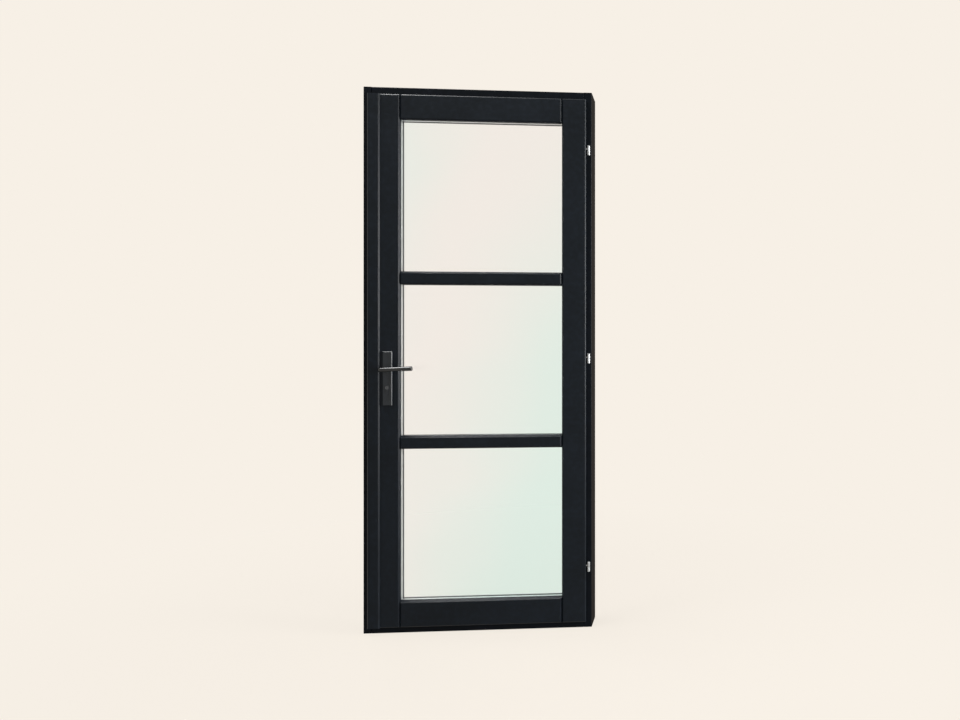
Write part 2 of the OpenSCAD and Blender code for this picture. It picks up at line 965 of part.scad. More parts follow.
module outer_glass_lower() {
    outer_sheet(0);
}

module outer_glass_middle() {
    outer_sheet(1);
}

module outer_glass_upper() {
    outer_sheet(2);
}

module inner_glass_lower() {
    inner_sheet(0);
}

module inner_glass_middle() {
    inner_sheet(1);
}

module inner_glass_upper() {
    inner_sheet(2);
}

module spacer_lower() {
    spacer(0);
}

module spacer_middle() {
    spacer(1);
}

module spacer_upper() {
    spacer(2);
}

module glazing_seal_lower() {
    glazing_seal(0);
}

module glazing_seal_middle() {
    glazing_seal(1);
}

module glazing_seal_upper() {
    glazing_seal(2);
}

module cross_beads_lower() {
    cross_beads(0);
}

module cross_beads_middle() {
    cross_beads(1);
}

module cross_beads_upper() {
    cross_beads(2);
}

module upright_beads_lower() {
    upright_beads(0);
}

module upright_beads_middle() {
    upright_beads(1);
}

module upright_beads_upper() {
    upright_beads(2);
}

// Lock

module lock_case() {
    cavity_t = case_t / 2 - case_wall;
    color(lock_colour) difference() {
        block([case_x0, lock_y - case_t / 2, case_z0], [case_x1, lock_y + case_t / 2, case_z1]);
        block(
            [case_x0 - overrun, lock_y - cavity_t, case_z0 + case_wall],
            [case_x1 - case_wall, lock_y + cavity_t, case_z1 - case_wall]
        );
        rod_y(spindle_x, lock_y - case_t, lock_y + case_t, spindle_z, hub_d + 2 * run_clear);
        cylinder_outline(lock_y - case_t, lock_y + case_t, fit_clear);
    }
}

module edge_screw_set(grow) {
    for (z = edge_screw_zs)
        screw_x(edge_x, lock_y, z, screw_l, screw_d, screw_head_d, screw_head_h, grow);
}

module edge_screws() {
    color(lock_colour) edge_screw_set(0);
}

// A slot in the edge plate or drive bar for something the bar slides past
module travel_slot(x0, x1, w, z0, z1) {
    block([x0 - overrun, lock_y - w / 2, z0], [x1 + overrun, lock_y + w / 2, z1]);
}

module edge_plate() {
    stud_w = cam_stud_d + 2 * cam_room;
    color(lock_colour) difference() {
        block(
            [edge_x, lock_y - edge_plate_w / 2, edge_z0],
            [plate_in_x, lock_y + edge_plate_w / 2, edge_z1]
        );
        for (z = cam_zs)
            travel_slot(edge_x, plate_in_x, stud_w, z - stud_w / 2, z + travel + stud_w / 2);
        bolt_space(seat_clear, 0);
        edge_screw_set(fit_clear);
    }
}

module drive_bar() {
    screw_w = screw_d + 2 * cam_room;
    color(lock_colour) difference() {
        block(
            [bar_x0, lock_y - drive_bar_w / 2, edge_z0 + bar_end],
            [bar_x1, lock_y + drive_bar_w / 2, edge_z1 - bar_end - travel]
        );
        for (z = edge_screw_zs)
            travel_slot(bar_x0, bar_x1, screw_w, z - travel - screw_w / 2, z + screw_w / 2);
        travel_slot(
            bar_x0, bar_x1, bolt_t + 2 * bolt_clear,
            bolt_z0 - travel - bolt_clear, bolt_z0 + bolt_h + bolt_clear
        );
        for (z = cam_zs)
            rod_x(bar_x0 - overrun, bar_x1 + overrun, lock_y, z, cam_stud_d);
    }
}

// Right edge of the slide, a rack with a gap level with the spindle
function rack_points() = [
    for (i = [-rack_teeth_below : rack_teeth_above - 1])
        for (p = rack_tooth())
            [rack_x + p[0], spindle_z + (i + 0.5) * rack_pitch + p[1]]
];

function rack_tooth() =
    let (
        half = rack_pitch / 4 - backlash / 2,
        up = addendum_share * gear_m,
        down = dedendum_share * gear_m
    )
    [
        [-down, -half - down * tan(tooth_angle)],
        [up, -half + up * tan(tooth_angle)],
        [up, half - up * tan(tooth_angle)],
        [-down, half + down * tan(tooth_angle)]
    ];

module gear_slide() {
    root_x = rack_x - dedendum_share * gear_m;
    z0 = spindle_z - rack_teeth_below * rack_pitch;
    z1 = spindle_z + rack_teeth_above * rack_pitch;
    color(lock_colour)
        along_y(lock_y - slide_t / 2, lock_y + slide_t / 2)
            polygon(concat([[bar_x1, z1], [bar_x1, z0], [root_x, z0]], rack_points(), [[root_x, z1]]));
}

module roller_cams() {
    color(lock_colour)
        for (z = cam_zs) {
            rod_x(edge_x - leaf_gap / 2, bar_x1, lock_y, z, cam_stud_d);
            rod_x(cam_x0, edge_x - leaf_gap / 2, lock_y, z, cam_d);
        }
}

// Polar angle left over on each side of a tooth's middle at radius r
function involute(a) = tan(a) - a * PI / 180;

function tooth_half_angle(r) =
    90 / gear_teeth - backlash / pitch_r * 90 / PI
    + (involute(tooth_angle) - involute(acos(min(1, base_r / r)))) * 180 / PI;

function flank(side) = [
    for (i = [0 : flank_steps])
        let (r = max(base_r, root_r) + (tip_r - max(base_r, root_r)) * i / flank_steps)
        [r, side * tooth_half_angle(r)]
];

function reversed(list) = [for (i = [len(list) - 1 : -1 : 0]) list[i]];

// One tooth in (radius, angle), from root to tip and back
function tooth() = concat(
    [[root_r, -tooth_half_angle(base_r)]],
    flank(-1),
    reversed(flank(1)),
    [[root_r, tooth_half_angle(base_r)]]
);

module drive_gear() {
    hub_l = case_t;
    color(lock_colour) difference() {
        union() {
            translate([spindle_x, 0, spindle_z])
                along_y(lock_y - gear_t / 2, lock_y + gear_t / 2)
                    polygon([
                        for (i = [0 : gear_teeth - 1])
                            for (p = tooth())
                                let (a = 180 + i * 360 / gear_teeth + p[1])
                                [p[0] * cos(a), p[0] * sin(a)]
                    ]);
            rod_y(spindle_x, lock_y - hub_l / 2, lock_y + hub_l / 2, spindle_z, hub_d);
        }
        spindle_box(lock_y - hub_l, lock_y + hub_l, run_clear);
    }
}

module spindle_box(y0, y1, grow) {
    half = spindle_s / 2 + grow;
    block([spindle_x - half, y0, spindle_z - half], [spindle_x + half, y1, spindle_z + half]);
}

module spindle() {
    color(lock_colour)
        spindle_box(
            leaf_front_y - plate_t - socket_l + neck_in,
            leaf_back_y + plate_t + socket_l - neck_in,
            0
        );
}

// The dead bolt's section, run through plate, bar and jamb
module bolt_space(grow, out) {
    block(
        [edge_x + out - overrun, lock_y - bolt_t / 2 - grow, bolt_z0 - grow],
        [bar_x1, lock_y + bolt_t / 2 + grow, bolt_z0 + bolt_h + grow]
    );
}

module dead_bolt() {
    tail_x = bolt_x1 - bolt_tail_l;
    color(lock_colour)
        along_y(lock_y - bolt_t / 2, lock_y + bolt_t / 2)
            polygon([
                [bolt_x0, bolt_z0],
                [tail_x, bolt_z0],
                [tail_x, bolt_tail_z0],
                [notch_x - notch_w / 2, bolt_tail_z0],
                [notch_x - notch_w / 2, bolt_z0],
                [notch_x + notch_w / 2, bolt_z0],
                [notch_x + notch_w / 2, bolt_tail_z0],
                [bolt_x1, bolt_tail_z0],
                [bolt_x1, bolt_z0 + bolt_h],
                [bolt_x0, bolt_z0 + bolt_h]
            ]);
}

// Round barrel with a narrower tail below it
module cylinder_outline(y0, y1, grow) {
    tail = cylinder_tail_w + 2 * grow;
    tail_z = cylinder_z - cylinder_tail_l + cylinder_tail_w / 2;
    rod_y(spindle_x, y0, y1, cylinder_z, cylinder_d + 2 * grow);
    rod_y(spindle_x, y0, y1, tail_z, tail);
    block([spindle_x - tail / 2, y0, tail_z], [spindle_x + tail / 2, y1, cylinder_z]);
}

module lock_cylinder() {
    slot = cam_l / 2 + seat_clear;
    color(fitting_colour) difference() {
        cylinder_outline(cylinder_y0, cylinder_y1, 0);
        rod_y(spindle_x, cylinder_y0 - overrun, cylinder_y1 + overrun, cylinder_z, plug_d + 2 * run_clear);
        block(
            [spindle_x - cylinder_d, lock_y - slot, cylinder_z - cam_slot_drop],
            [spindle_x + cylinder_d, lock_y + slot, cylinder_z + cylinder_d]
        );
    }
}

module cylinder_plug() {
    color(lock_colour) difference() {
        rod_y(spindle_x, cylinder_y0, cylinder_y1, cylinder_z, plug_d);
        block(
            [spindle_x - key_w / 2, cylinder_y0 - overrun, cylinder_z - key_h / 2],
            [spindle_x + key_w / 2, cylinder_y0 + key_d, cylinder_z + key_h / 2]
        );
    }
}

module cylinder_cam() {
    color(lock_colour)
        translate([spindle_x, 0, cylinder_z])
            along_y(lock_y - cam_l / 2, lock_y + cam_l / 2)
                difference() {
                    union() {
                        circle(d = cam_ring_d);
                        rotate(45) translate([0, -cam_arm_w / 2]) square([cam_arm_l, cam_arm_w]);
                    }
                    circle(d = plug_d);
                }
}

module thumb_turn() {
    blade = turn_blade_h - turn_blade_t;
    color(fitting_colour) {
        rod_y(spindle_x, cylinder_y1, cylinder_y1 + turn_base_t, cylinder_z, turn_d);
        for (side = [-1, 1])
            rod_y(
                spindle_x, cylinder_y1 + turn_base_t, cylinder_y1 + turn_base_t + turn_blade_l,
                cylinder_z + side * blade / 2, turn_blade_t
            );
        block(
            [spindle_x - turn_blade_t / 2, cylinder_y1 + turn_base_t, cylinder_z - blade / 2],
            [spindle_x + turn_blade_t / 2, cylinder_y1 + turn_base_t + turn_blade_l, cylinder_z + blade / 2]
        );
    }
}

// Handle

// A chamfered plate standing on the plane y = 0 and facing -Y, with its collar
module plate_blank() {
    x0 = spindle_x - plate_w / 2;
    x1 = spindle_x + plate_w / 2;
    intersection() {
        block([x0, -plate_t, plate_z0], [x1, 0, plate_z1]);
        along_z(plate_z0, plate_z1)
            polygon([
                [x0, 0],
                [x0, plate_chamfer - plate_t],
                [x0 + plate_chamfer, -plate_t],
                [x1 - plate_chamfer, -plate_t],
                [x1, plate_chamfer - plate_t],
                [x1, 0]
            ]);
        along_x(x0, x1)
            polygon([
                [0, plate_z0],
                [plate_chamfer - plate_t, plate_z0],
                [-plate_t, plate_z0 + plate_chamfer],
                [-plate_t, plate_z1 - plate_chamfer],
                [plate_chamfer - plate_t, plate_z1],
                [0, plate_z1]
            ]);
    }
    rod_y(spindle_x, -plate_t - collar_t, -plate_t, spindle_z, neck_d + 2 * collar_w);
}

module plate_holes() {
    rod_y(spindle_x, -plate_t - collar_t - overrun, overrun, spindle_z, neck_d + 2 * fit_clear);
    cylinder_outline(-plate_t - overrun, overrun, fit_clear);
}

module outer_plate() {
    color(fitting_colour) translate([0, leaf_front_y, 0])
        difference() {
            union() {
                plate_blank();
                for (z = plate_screw_zs)
                    rod_y(spindle_x, -plate_chamfer, post_l, z, post_d);
            }
            plate_holes();
            for (z = plate_screw_zs)
                rod_y(spindle_x, -plate_chamfer, post_l + overrun, z, plate_screw_d);
        }
}

// Countersunk screws from the inside plate into the posts of the outside plate
module plate_screw_set(grow) {
    head_y = leaf_back_y + plate_t;
    for (z = plate_screw_zs) {
        rod_y(spindle_x, leaf_front_y, head_y, z, plate_screw_d + 2 * grow);
        translate([spindle_x, head_y, z]) rotate([90, 0, 0])
            cylinder(
                h = plate_screw_head_h,
                d1 = plate_screw_head_d + 2 * grow,
                d2 = plate_screw_d + 2 * grow
            );
    }
}

module plate_screws() {
    color(fitting_colour) plate_screw_set(0);
}

module inner_plate() {
    color(fitting_colour) difference() {
        translate([0, leaf_back_y, 0]) mirror([0, 1, 0])
            difference() {
                plate_blank();
                plate_holes();
            }
        plate_screw_set(fit_clear);
    }
}

// A lever's neck on the plane y = 0, tapering along -Y to a grip whose axis is off from the plate's face
module lever_neck(off) {
    rod_y(spindle_x, -plate_t - collar_t, -plate_t + neck_in, spindle_z, neck_d);
    translate([spindle_x, -plate_t - collar_t, spindle_z]) rotate([90, 0, 0])
        cylinder(h = off - collar_t, d1 = neck_d, d2 = grip_d);
}

module lever_socket() {
    spindle_box(-plate_t - socket_l + neck_in, overrun, run_clear);
}

// A grip along +X from the spindle's axis that widens to its end
module long_grip() {
    x0 = grip_d / 2 - grip_back;
    x1 = grip_l - grip_end_t;
    translate([x0, 0, 0]) sphere(d = grip_d);
    translate([x0, 0, 0]) rotate([0, 90, 0]) cylinder(h = x1 - x0, d1 = grip_d, d2 = grip_end_d);
    translate([x1, 0, 0]) rotate([0, 90, 0])
        cylinder(h = grip_end_t, d1 = grip_end_d, d2 = grip_end_d - 2 * grip_end_t);
}

// An upright grip, turned with a bulge at its middle
module olive_grip() {
    rotate_extrude()
        intersection() {
            translate([olive_d / 2 - olive_r, 0]) circle(r = olive_r, $fn = 180);
            translate([0, -olive_h / 2]) square([olive_d, olive_h]);
        }
}

module outer_lever() {
    color(fitting_colour) translate([0, leaf_front_y, 0]) difference() {
        union() {
            lever_neck(grip_off);
            translate([spindle_x, -plate_t - grip_off, spindle_z]) rotate([0, -grip_slope, 0]) long_grip();
        }
        lever_socket();
    }
}

// Double-ended, and upright while the drive bar is thrown
module inner_lever() {
    color(fitting_colour) translate([0, leaf_back_y, 0]) mirror([0, 1, 0]) difference() {
        union() {
            lever_neck(olive_off);
            translate([spindle_x, -plate_t - olive_off, spindle_z]) olive_grip();
        }
        lever_socket();
    }
}

lock_jamb();
hinge_jamb();
frame_head();
threshold();
frame_seal();
strike_plate();
cam_keeps();
strike_screws();
hinge_pins();
lower_knuckle_bottom();
lower_knuckle_middle();
lower_knuckle_top();
lock_stile();
hinge_stile();
top_rail();
bottom_rail();
upper_bar();
lower_bar();
cover_strip();
outer_glass_lower();
outer_glass_middle();
outer_glass_upper();
inner_glass_lower();
inner_glass_middle();
inner_glass_upper();
spacer_lower();
spacer_middle();
spacer_upper();
glazing_seal_lower();
glazing_seal_middle();
glazing_seal_upper();
cross_beads_lower();
cross_beads_middle();
cross_beads_upper();
upright_beads_lower();
upright_beads_middle();
upright_beads_upper();
setting_blocks();
lock_case();
edge_plate();
edge_screws();
outer_plate();
inner_plate();
plate_screws();
lock_cylinder();
upper_knuckle_bottom();
upper_knuckle_middle();
upper_knuckle_top();
drive_bar();
gear_slide();
roller_cams();
outer_lever();
inner_lever();
spindle();
drive_gear();
cylinder_plug();
cylinder_cam();
thumb_turn();
dead_bolt();
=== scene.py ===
# %% [markdown]
# A glazed outside door in its frame. The solids come packed, in metres, with every piece already in its
# place. This lesson gives each surface its finish and models again, by hand, the small turned and moulded
# pieces that plain solids show too simply: levers, hinges, screws, rollers, seals and the thumb turn.

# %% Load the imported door
import json
import math

import bpy
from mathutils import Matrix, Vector


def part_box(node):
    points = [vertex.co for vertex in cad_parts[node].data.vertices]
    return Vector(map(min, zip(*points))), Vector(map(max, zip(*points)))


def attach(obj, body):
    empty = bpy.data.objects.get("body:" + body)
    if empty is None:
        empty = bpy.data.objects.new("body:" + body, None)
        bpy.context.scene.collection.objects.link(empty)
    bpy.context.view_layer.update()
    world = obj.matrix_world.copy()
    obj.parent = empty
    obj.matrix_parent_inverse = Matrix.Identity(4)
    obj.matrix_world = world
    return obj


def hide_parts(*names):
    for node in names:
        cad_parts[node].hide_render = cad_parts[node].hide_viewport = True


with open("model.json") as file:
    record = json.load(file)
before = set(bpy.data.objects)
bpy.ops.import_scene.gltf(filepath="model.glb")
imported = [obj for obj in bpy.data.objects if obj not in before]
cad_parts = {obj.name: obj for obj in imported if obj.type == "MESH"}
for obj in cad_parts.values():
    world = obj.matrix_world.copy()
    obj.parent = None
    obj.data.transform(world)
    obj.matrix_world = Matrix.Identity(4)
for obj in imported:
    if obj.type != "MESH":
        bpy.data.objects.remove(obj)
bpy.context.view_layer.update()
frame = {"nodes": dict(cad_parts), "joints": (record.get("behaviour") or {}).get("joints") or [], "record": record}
nodes = frame["nodes"]
joints = {joint["name"]: joint for joint in frame["joints"]}
print("pieces loaded:", len(nodes))

# %% [markdown]
# The camera stands to the right of the door and is turned a little further right, so a plain lens would show
# the door far to the left. A shifted lens brings it back to the middle without tilting its uprights, as a
# view camera does. Place, turn and lens were found from the corners of the door in the picture.

# %% Camera
camera_place = (0.8021, -3.2, 1.0963)
camera_turn_deg = -5.02
lens_mm = 29.677
sensor_mm = 36
lens_shift = (-0.2882, -0.0139)

bpy.ops.object.select_all(action="DESELECT")
bpy.ops.object.camera_add(
    location=camera_place,
    rotation=(math.radians(90), 0, math.radians(camera_turn_deg)),
)
camera = bpy.context.object
camera.data.sensor_width = sensor_mm
camera.data.lens = lens_mm
camera.data.shift_x, camera.data.shift_y = lens_shift
bpy.context.scene.camera = camera
bpy.context.scene.view_settings.view_transform = "Standard"
print("camera at", camera_place)

# %% [markdown]
# Colours are written as the sRGB hex values that a paint card gives. Blender's shaders work in linear
# light, so one function turns the one into the other. A second small function adds a node with its
# settings and links, and every material below is put together with it.

# %% Colour and node helpers
MM = 0.001


def linear(hex_code):
    """An sRGB hex colour as linear red, green, blue and alpha."""
    parts = [int(hex_code[i:i + 2], 16) / 255 for i in (1, 3, 5)]
    return tuple(c / 12.92 if c <= 0.04045 else ((c + 0.055) / 1.055) ** 2.4 for c in parts) + (1.0,)


def add_node(tree, kind, settings=None, links=None):
    """Add one node. Settings name inputs or properties, links name inputs and the sockets that feed them."""
    node = tree.nodes.new(kind)
    for name, value in (settings or {}).items():
        if isinstance(name, int) or name in node.inputs:
            node.inputs[name].default_value = value
        else:
            setattr(node, name, value)
    for name, source in (links or {}).items():
        tree.links.new(source, node.inputs[name])
    return node


def new_material(name):
    """An empty node material with its output node."""
    material = bpy.data.materials.new(name)
    material.use_nodes = True
    material.node_tree.nodes.clear()
    output = material.node_tree.nodes.new("ShaderNodeOutputMaterial")
    return material, material.node_tree, output


def pattern_scale(size_mm):
    """The Scale of a texture whose features are this many millimetres across."""
    return 1 / (size_mm * MM)


print("helpers ready")

# %% [markdown]
# The studio is one pale cream room. What the camera sees, directly, in a reflection or through glass, is
# the even cream of the backdrop, while the light that falls on the door is a neutral white of its own. A
# Light Path node tells the two apart, which one lamp-lit backdrop could not do.

# %% The room
backdrop_hex = "#f7f0e6"
room_light_strength = 0.5


def seen_by_eye(tree):
    """1 for rays that end in the picture: seen directly, mirrored or through glass."""
    path = add_node(tree, "ShaderNodeLightPath")
    direct = add_node(
        tree, "ShaderNodeMath", {"operation": "MAXIMUM"},
        {0: path.outputs["Is Camera Ray"], 1: path.outputs["Is Glossy Ray"]},
    )
    return add_node(
        tree, "ShaderNodeMath", {"operation": "MAXIMUM"},
        {0: direct.outputs[0], 1: path.outputs["Is Transmission Ray"]},
    ).outputs[0]


world = bpy.data.worlds.new("cream room")
bpy.context.scene.world = world
world.use_nodes = True
room = world.node_tree
room.nodes.clear()
room_light = add_node(room, "ShaderNodeBackground", {"Color": (1, 1, 1, 1), "Strength": room_light_strength})
room_view = add_node(room, "ShaderNodeBackground", {"Color": linear(backdrop_hex)})
room_mix = add_node(
    room, "ShaderNodeMixShader", None,
    {"Fac": seen_by_eye(room), 1: room_light.outputs[0], 2: room_view.outputs[0]},
)
add_node(room, "ShaderNodeOutputWorld", None, {"Surface": room_mix.outputs[0]})
print("room:", world.name)

# %% [markdown]
# Near the door the floor takes some real light, so that a soft shadow lies on it. That share fades out with
# distance, and no line shows where floor and backdrop meet. For bounced light the floor is dark, because a
# pale one would light the undersides of the lever and the rails, which stay dark on the real door.

# %% The floor
floor_size = 60.0
floor_lit_hex = "#a59f97"
floor_bounce_hex = "#4f4c49"
floor_shadow_share = 0.16
floor_fade_radius = 2.4

bpy.ops.object.select_all(action="DESELECT")
bpy.ops.mesh.primitive_plane_add(size=floor_size)
floor = bpy.context.object
floor.name = "studio_floor"
floor_paint, tree, output = new_material("cream studio floor")
floor_place = add_node(tree, "ShaderNodeTexCoord").outputs["Object"]
floor_distance = add_node(tree, "ShaderNodeVectorMath", {"operation": "LENGTH"}, {0: floor_place})
lit_share = add_node(
    tree, "ShaderNodeMapRange",
    {"interpolation_type": "SMOOTHSTEP", "From Max": floor_fade_radius,
     "To Min": floor_shadow_share, "To Max": 0.0},
    {"Value": floor_distance.outputs["Value"]},
)
lit = add_node(tree, "ShaderNodeBsdfDiffuse", {"Color": linear(floor_lit_hex)})
glow = add_node(tree, "ShaderNodeEmission", {"Color": linear(backdrop_hex)})
shown_floor = add_node(
    tree, "ShaderNodeMixShader", None, {"Fac": lit_share.outputs[0], 1: glow.outputs[0], 2: lit.outputs[0]}
)
bounce = add_node(tree, "ShaderNodeBsdfDiffuse", {"Color": linear(floor_bounce_hex)})
floor_mix = add_node(
    tree, "ShaderNodeMixShader", None,
    {"Fac": seen_by_eye(tree), 1: bounce.outputs[0], 2: shown_floor.outputs[0]},
)
tree.links.new(floor_mix.outputs[0], output.inputs["Surface"])
floor.data.materials.append(floor_paint)
print("floor:", floor.name)

# %% [markdown]
# Black paint shows its form by the thin bright lines on its edges. A chamfer that faces right mirrors what
# stands far to the right, almost in line with the door. A chamfer that faces up, or the top of the lever,
# mirrors what hangs above and to the left, because the camera looks in from the right. So one tall soft box
# stands there, one hangs there, a third gives plain front light, and a weak one behind keeps the room side
# readable. None of them shows itself in the picture or through the glass.

# %% Lamps
door_middle = (0, 0, 1.05)


def soft_lamp(name, place, size, watts):
    """A rectangular soft box that looks at the middle of the door."""
    bpy.ops.object.light_add(type="AREA", location=place)
    lamp = bpy.context.object
    lamp.name = name
    lamp.rotation_euler = (Vector(door_middle) - Vector(place)).to_track_quat("-Z", "Y").to_euler()
    lamp.data.shape = "RECTANGLE"
    lamp.data.size, lamp.data.size_y = size
    lamp.data.energy = watts
    lamp.visible_camera = False
    lamp.visible_transmission = False


soft_lamp("front_soft_box", place=(2.4, -2.9, 0.5), size=(1.2, 1.6), watts=72)
soft_lamp("edge_soft_box", place=(3.6, -1.1, 1.7), size=(1.3, 2.2), watts=280)
soft_lamp("top_soft_box", place=(-1.3, -0.4, 4.6), size=(2.3, 1.3), watts=265)
soft_lamp("back_soft_box", place=(-2.2, 2.6, 2.0), size=(1.2, 1.8), watts=45)

# %% [markdown]
# The sides and the top of the frame are hidden once it is built in, so they have only a dull, rough primer.
# Its pale warm tone is partly painted reflection: it stands in for the cream room that such a side mirrors
# at a grazing view.
# Those faces could take a slot of their own, but their place tells them apart just as well: they lie in the
# outermost millimetre of the frame.

# %% Where the frame is only primed
# the primer is real, but its pale warm tone is partly a painted reflection of the cream room
primer_with_painted_reflection_hex = "#1e1c1a"
primer_roughness = 0.95
primer_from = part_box("hinge_jamb")[1] - Vector((1, 0, 1)) * MM


def built_in_faces(tree, place):
    """1 on the outermost sides and the top of the frame, 0 elsewhere."""
    apart = add_node(tree, "ShaderNodeSeparateXYZ", None, {0: place})
    reach = add_node(tree, "ShaderNodeMath", {"operation": "ABSOLUTE"}, {0: apart.outputs["X"]})
    side = add_node(
        tree, "ShaderNodeMath", {"operation": "GREATER_THAN", 1: primer_from.x}, {0: reach.outputs[0]}
    )
    top = add_node(
        tree, "ShaderNodeMath", {"operation": "GREATER_THAN", 1: primer_from.z}, {0: apart.outputs["Z"]}
    )
    return add_node(
        tree, "ShaderNodeMath", {"operation": "MAXIMUM"}, {0: side.outputs[0], 1: top.outputs[0]}
    ).outputs[0]


print("primer beyond", round(primer_from.x, 3), "m to either side and", round(primer_from.z, 3), "m up")

# %% [markdown]
# The timber is planed softwood under two coats of satin black paint. Paint hides the colour of the
# grain but not all of its relief, so a very fine stretched noise goes into the bump. The sheen is not quite
# even, and handling leaves faint paler smudges, so roughness and colour wander at the scale of a hand's
# breadth and of a fingertip.

# %% Satin black paint on planed timber
grain_mm = 3.0      # drawn coarser than real pores of 0.3 mm, which no view could show
grain_stretch = 0.03
grain_depth_mm = 0.1
grain_relief = 0.25
smudge_mm = 18.0
smudge_range = {"From Min": 0.45, "From Max": 0.75, "To Max": 0.75}
cloud_mm = 160.0
cloud_range = {"From Min": 0.35, "From Max": 0.7, "To Max": 0.4}
paint_index = 1.5
satin_roughness = {"To Min": 0.38, "To Max": 0.52}


def timber_paint(name, hexes, stretch, gloss, built_in=False):
    """Paint whose grain is drawn out along the axis that has the small number in stretch."""
    material, tree, output = new_material(name)
    place = add_node(tree, "ShaderNodeTexCoord").outputs["Object"]
    along = add_node(tree, "ShaderNodeMapping", {"Scale": stretch}, {"Vector": place})
    grain = add_node(
        tree, "ShaderNodeTexNoise", {"Scale": pattern_scale(grain_mm), "Detail": 3.0},
        {"Vector": along.outputs["Vector"]},
    )
    smudge = add_node(
        tree, "ShaderNodeTexNoise", {"Scale": pattern_scale(smudge_mm), "Detail": 4.0, "Roughness": 0.6},
        {"Vector": place},
    )
    cloud = add_node(
        tree, "ShaderNodeTexNoise", {"Scale": pattern_scale(cloud_mm), "Detail": 2.0}, {"Vector": place}
    )
    smudge_share = add_node(tree, "ShaderNodeMapRange", smudge_range, {"Value": smudge.outputs["Fac"]})
    cloud_share = add_node(tree, "ShaderNodeMapRange", cloud_range, {"Value": cloud.outputs["Fac"]})
    worn = add_node(
        tree, "ShaderNodeMath", {"operation": "ADD", "use_clamp": True},
        {0: smudge_share.outputs[0], 1: cloud_share.outputs[0]},
    ).outputs[0]
    colour = add_node(
        tree, "ShaderNodeMix", {"data_type": "RGBA", 6: linear(hexes[0]), 7: linear(hexes[1])}, {0: worn},
    ).outputs[2]
    sheen = add_node(tree, "ShaderNodeMapRange", satin_roughness, {"Value": worn}).outputs[0]
    if built_in:
        hidden = built_in_faces(tree, place)
        # hidden faces take the primer colour, partly a painted reflection of the cream room
        colour = add_node(
            tree, "ShaderNodeMix", {"data_type": "RGBA", 7: linear(primer_with_painted_reflection_hex)}, {0: hidden, 6: colour}
        ).outputs[2]
        sheen = add_node(
            tree, "ShaderNodeMix", {"data_type": "FLOAT", 3: primer_roughness}, {0: hidden, 2: sheen}
        ).outputs[0]
        hidden_gloss = add_node(
            tree, "ShaderNodeMix", {"data_type": "FLOAT", 2: gloss, 3: 0.0}, {0: hidden}
        ).outputs[0]
    relief = add_node(
        tree, "ShaderNodeBump", {"Strength": grain_relief, "Distance": grain_depth_mm * MM},
        {"Height": grain.outputs["Fac"]},
    )
    paint = add_node(
        tree, "ShaderNodeBsdfPrincipled", {"IOR": paint_index, "Specular IOR Level": gloss},
        {"Base Color": colour, "Roughness": sheen, "Normal": relief.outputs[0]},
    )
    if built_in:
        tree.links.new(hidden_gloss, paint.inputs["Specular IOR Level"])
    tree.links.new(paint.outputs[0], output.inputs["Surface"])
    return material


print("paint recipe ready, with grain", grain_mm, "mm wide")

# %% [markdown]
# One recipe now gives six paints, because pieces differ in tone, gloss and the way their grain runs: up the
# stiles and jambs, across rails and bars. The grain is turned by stretching the pattern, so no piece needs a
# map of its own. The beads that hold the glass were painted apart, in a glossier enamel that sheds the water
# running down the panes.

# %% The six paints
leaf_paint_hexes = ("#060b10", "#0d131a")
frame_paint_hexes = ("#04070b", "#080c12")
satin_gloss = 0.12  # satin paint throws back less of the pale room than bare lacquer would
frame_gloss = 0.06  # no hand polishes the frame, so it stays duller than the leaf
enamel_gloss = 0.6
upright = (1, 1, grain_stretch)
level = (grain_stretch, 1, 1)
stile_paint = timber_paint("satin black paint on stiles", leaf_paint_hexes, upright, satin_gloss)
rail_paint = timber_paint("satin black paint on rails", leaf_paint_hexes, level, satin_gloss)
jamb_paint = timber_paint(
    "satin black paint on jambs", frame_paint_hexes, upright, frame_gloss, built_in=True
)
head_paint = timber_paint(
    "satin black paint on head and threshold", frame_paint_hexes, level, frame_gloss, built_in=True
)
upright_bead_paint = timber_paint("black enamel on upright beads", leaf_paint_hexes, upright, enamel_gloss)
cross_bead_paint = timber_paint("black enamel on cross beads", leaf_paint_hexes, level, enamel_gloss)
print("paints:", stile_paint.name, "and five more")

# %% [markdown]
# The panes are insulating glass: two sheets of clear float with a heat-saving coating. Their tint is a
# painted reflection of the sky, in broad bands: a faint mint in the upper left corner, nearly neutral across
# the middle and mint again towards the lower right. A slow gradient across all three panes gives that,
# measured from the middle of the neutral band to either side. For shadow rays the glass is made plainly
# transparent, because light passes through a real pane and no caustics are traced here.

# %% Clear insulating glass
# the tint from clear to mint is a painted reflection of the sky
glass_clear_hex = "#fcfcfd"
painted_reflection_mint_hex = "#f2fdfd"
gradient_start = Vector((-0.24, 0, 1.05))
gradient_end = Vector((0.45, 0, 0.77))
streak_mm = 420.0
streak_share = 0.25
mirror_index = 1.22     # below the 1.52 of bare glass, as the coating also dims the mirror image


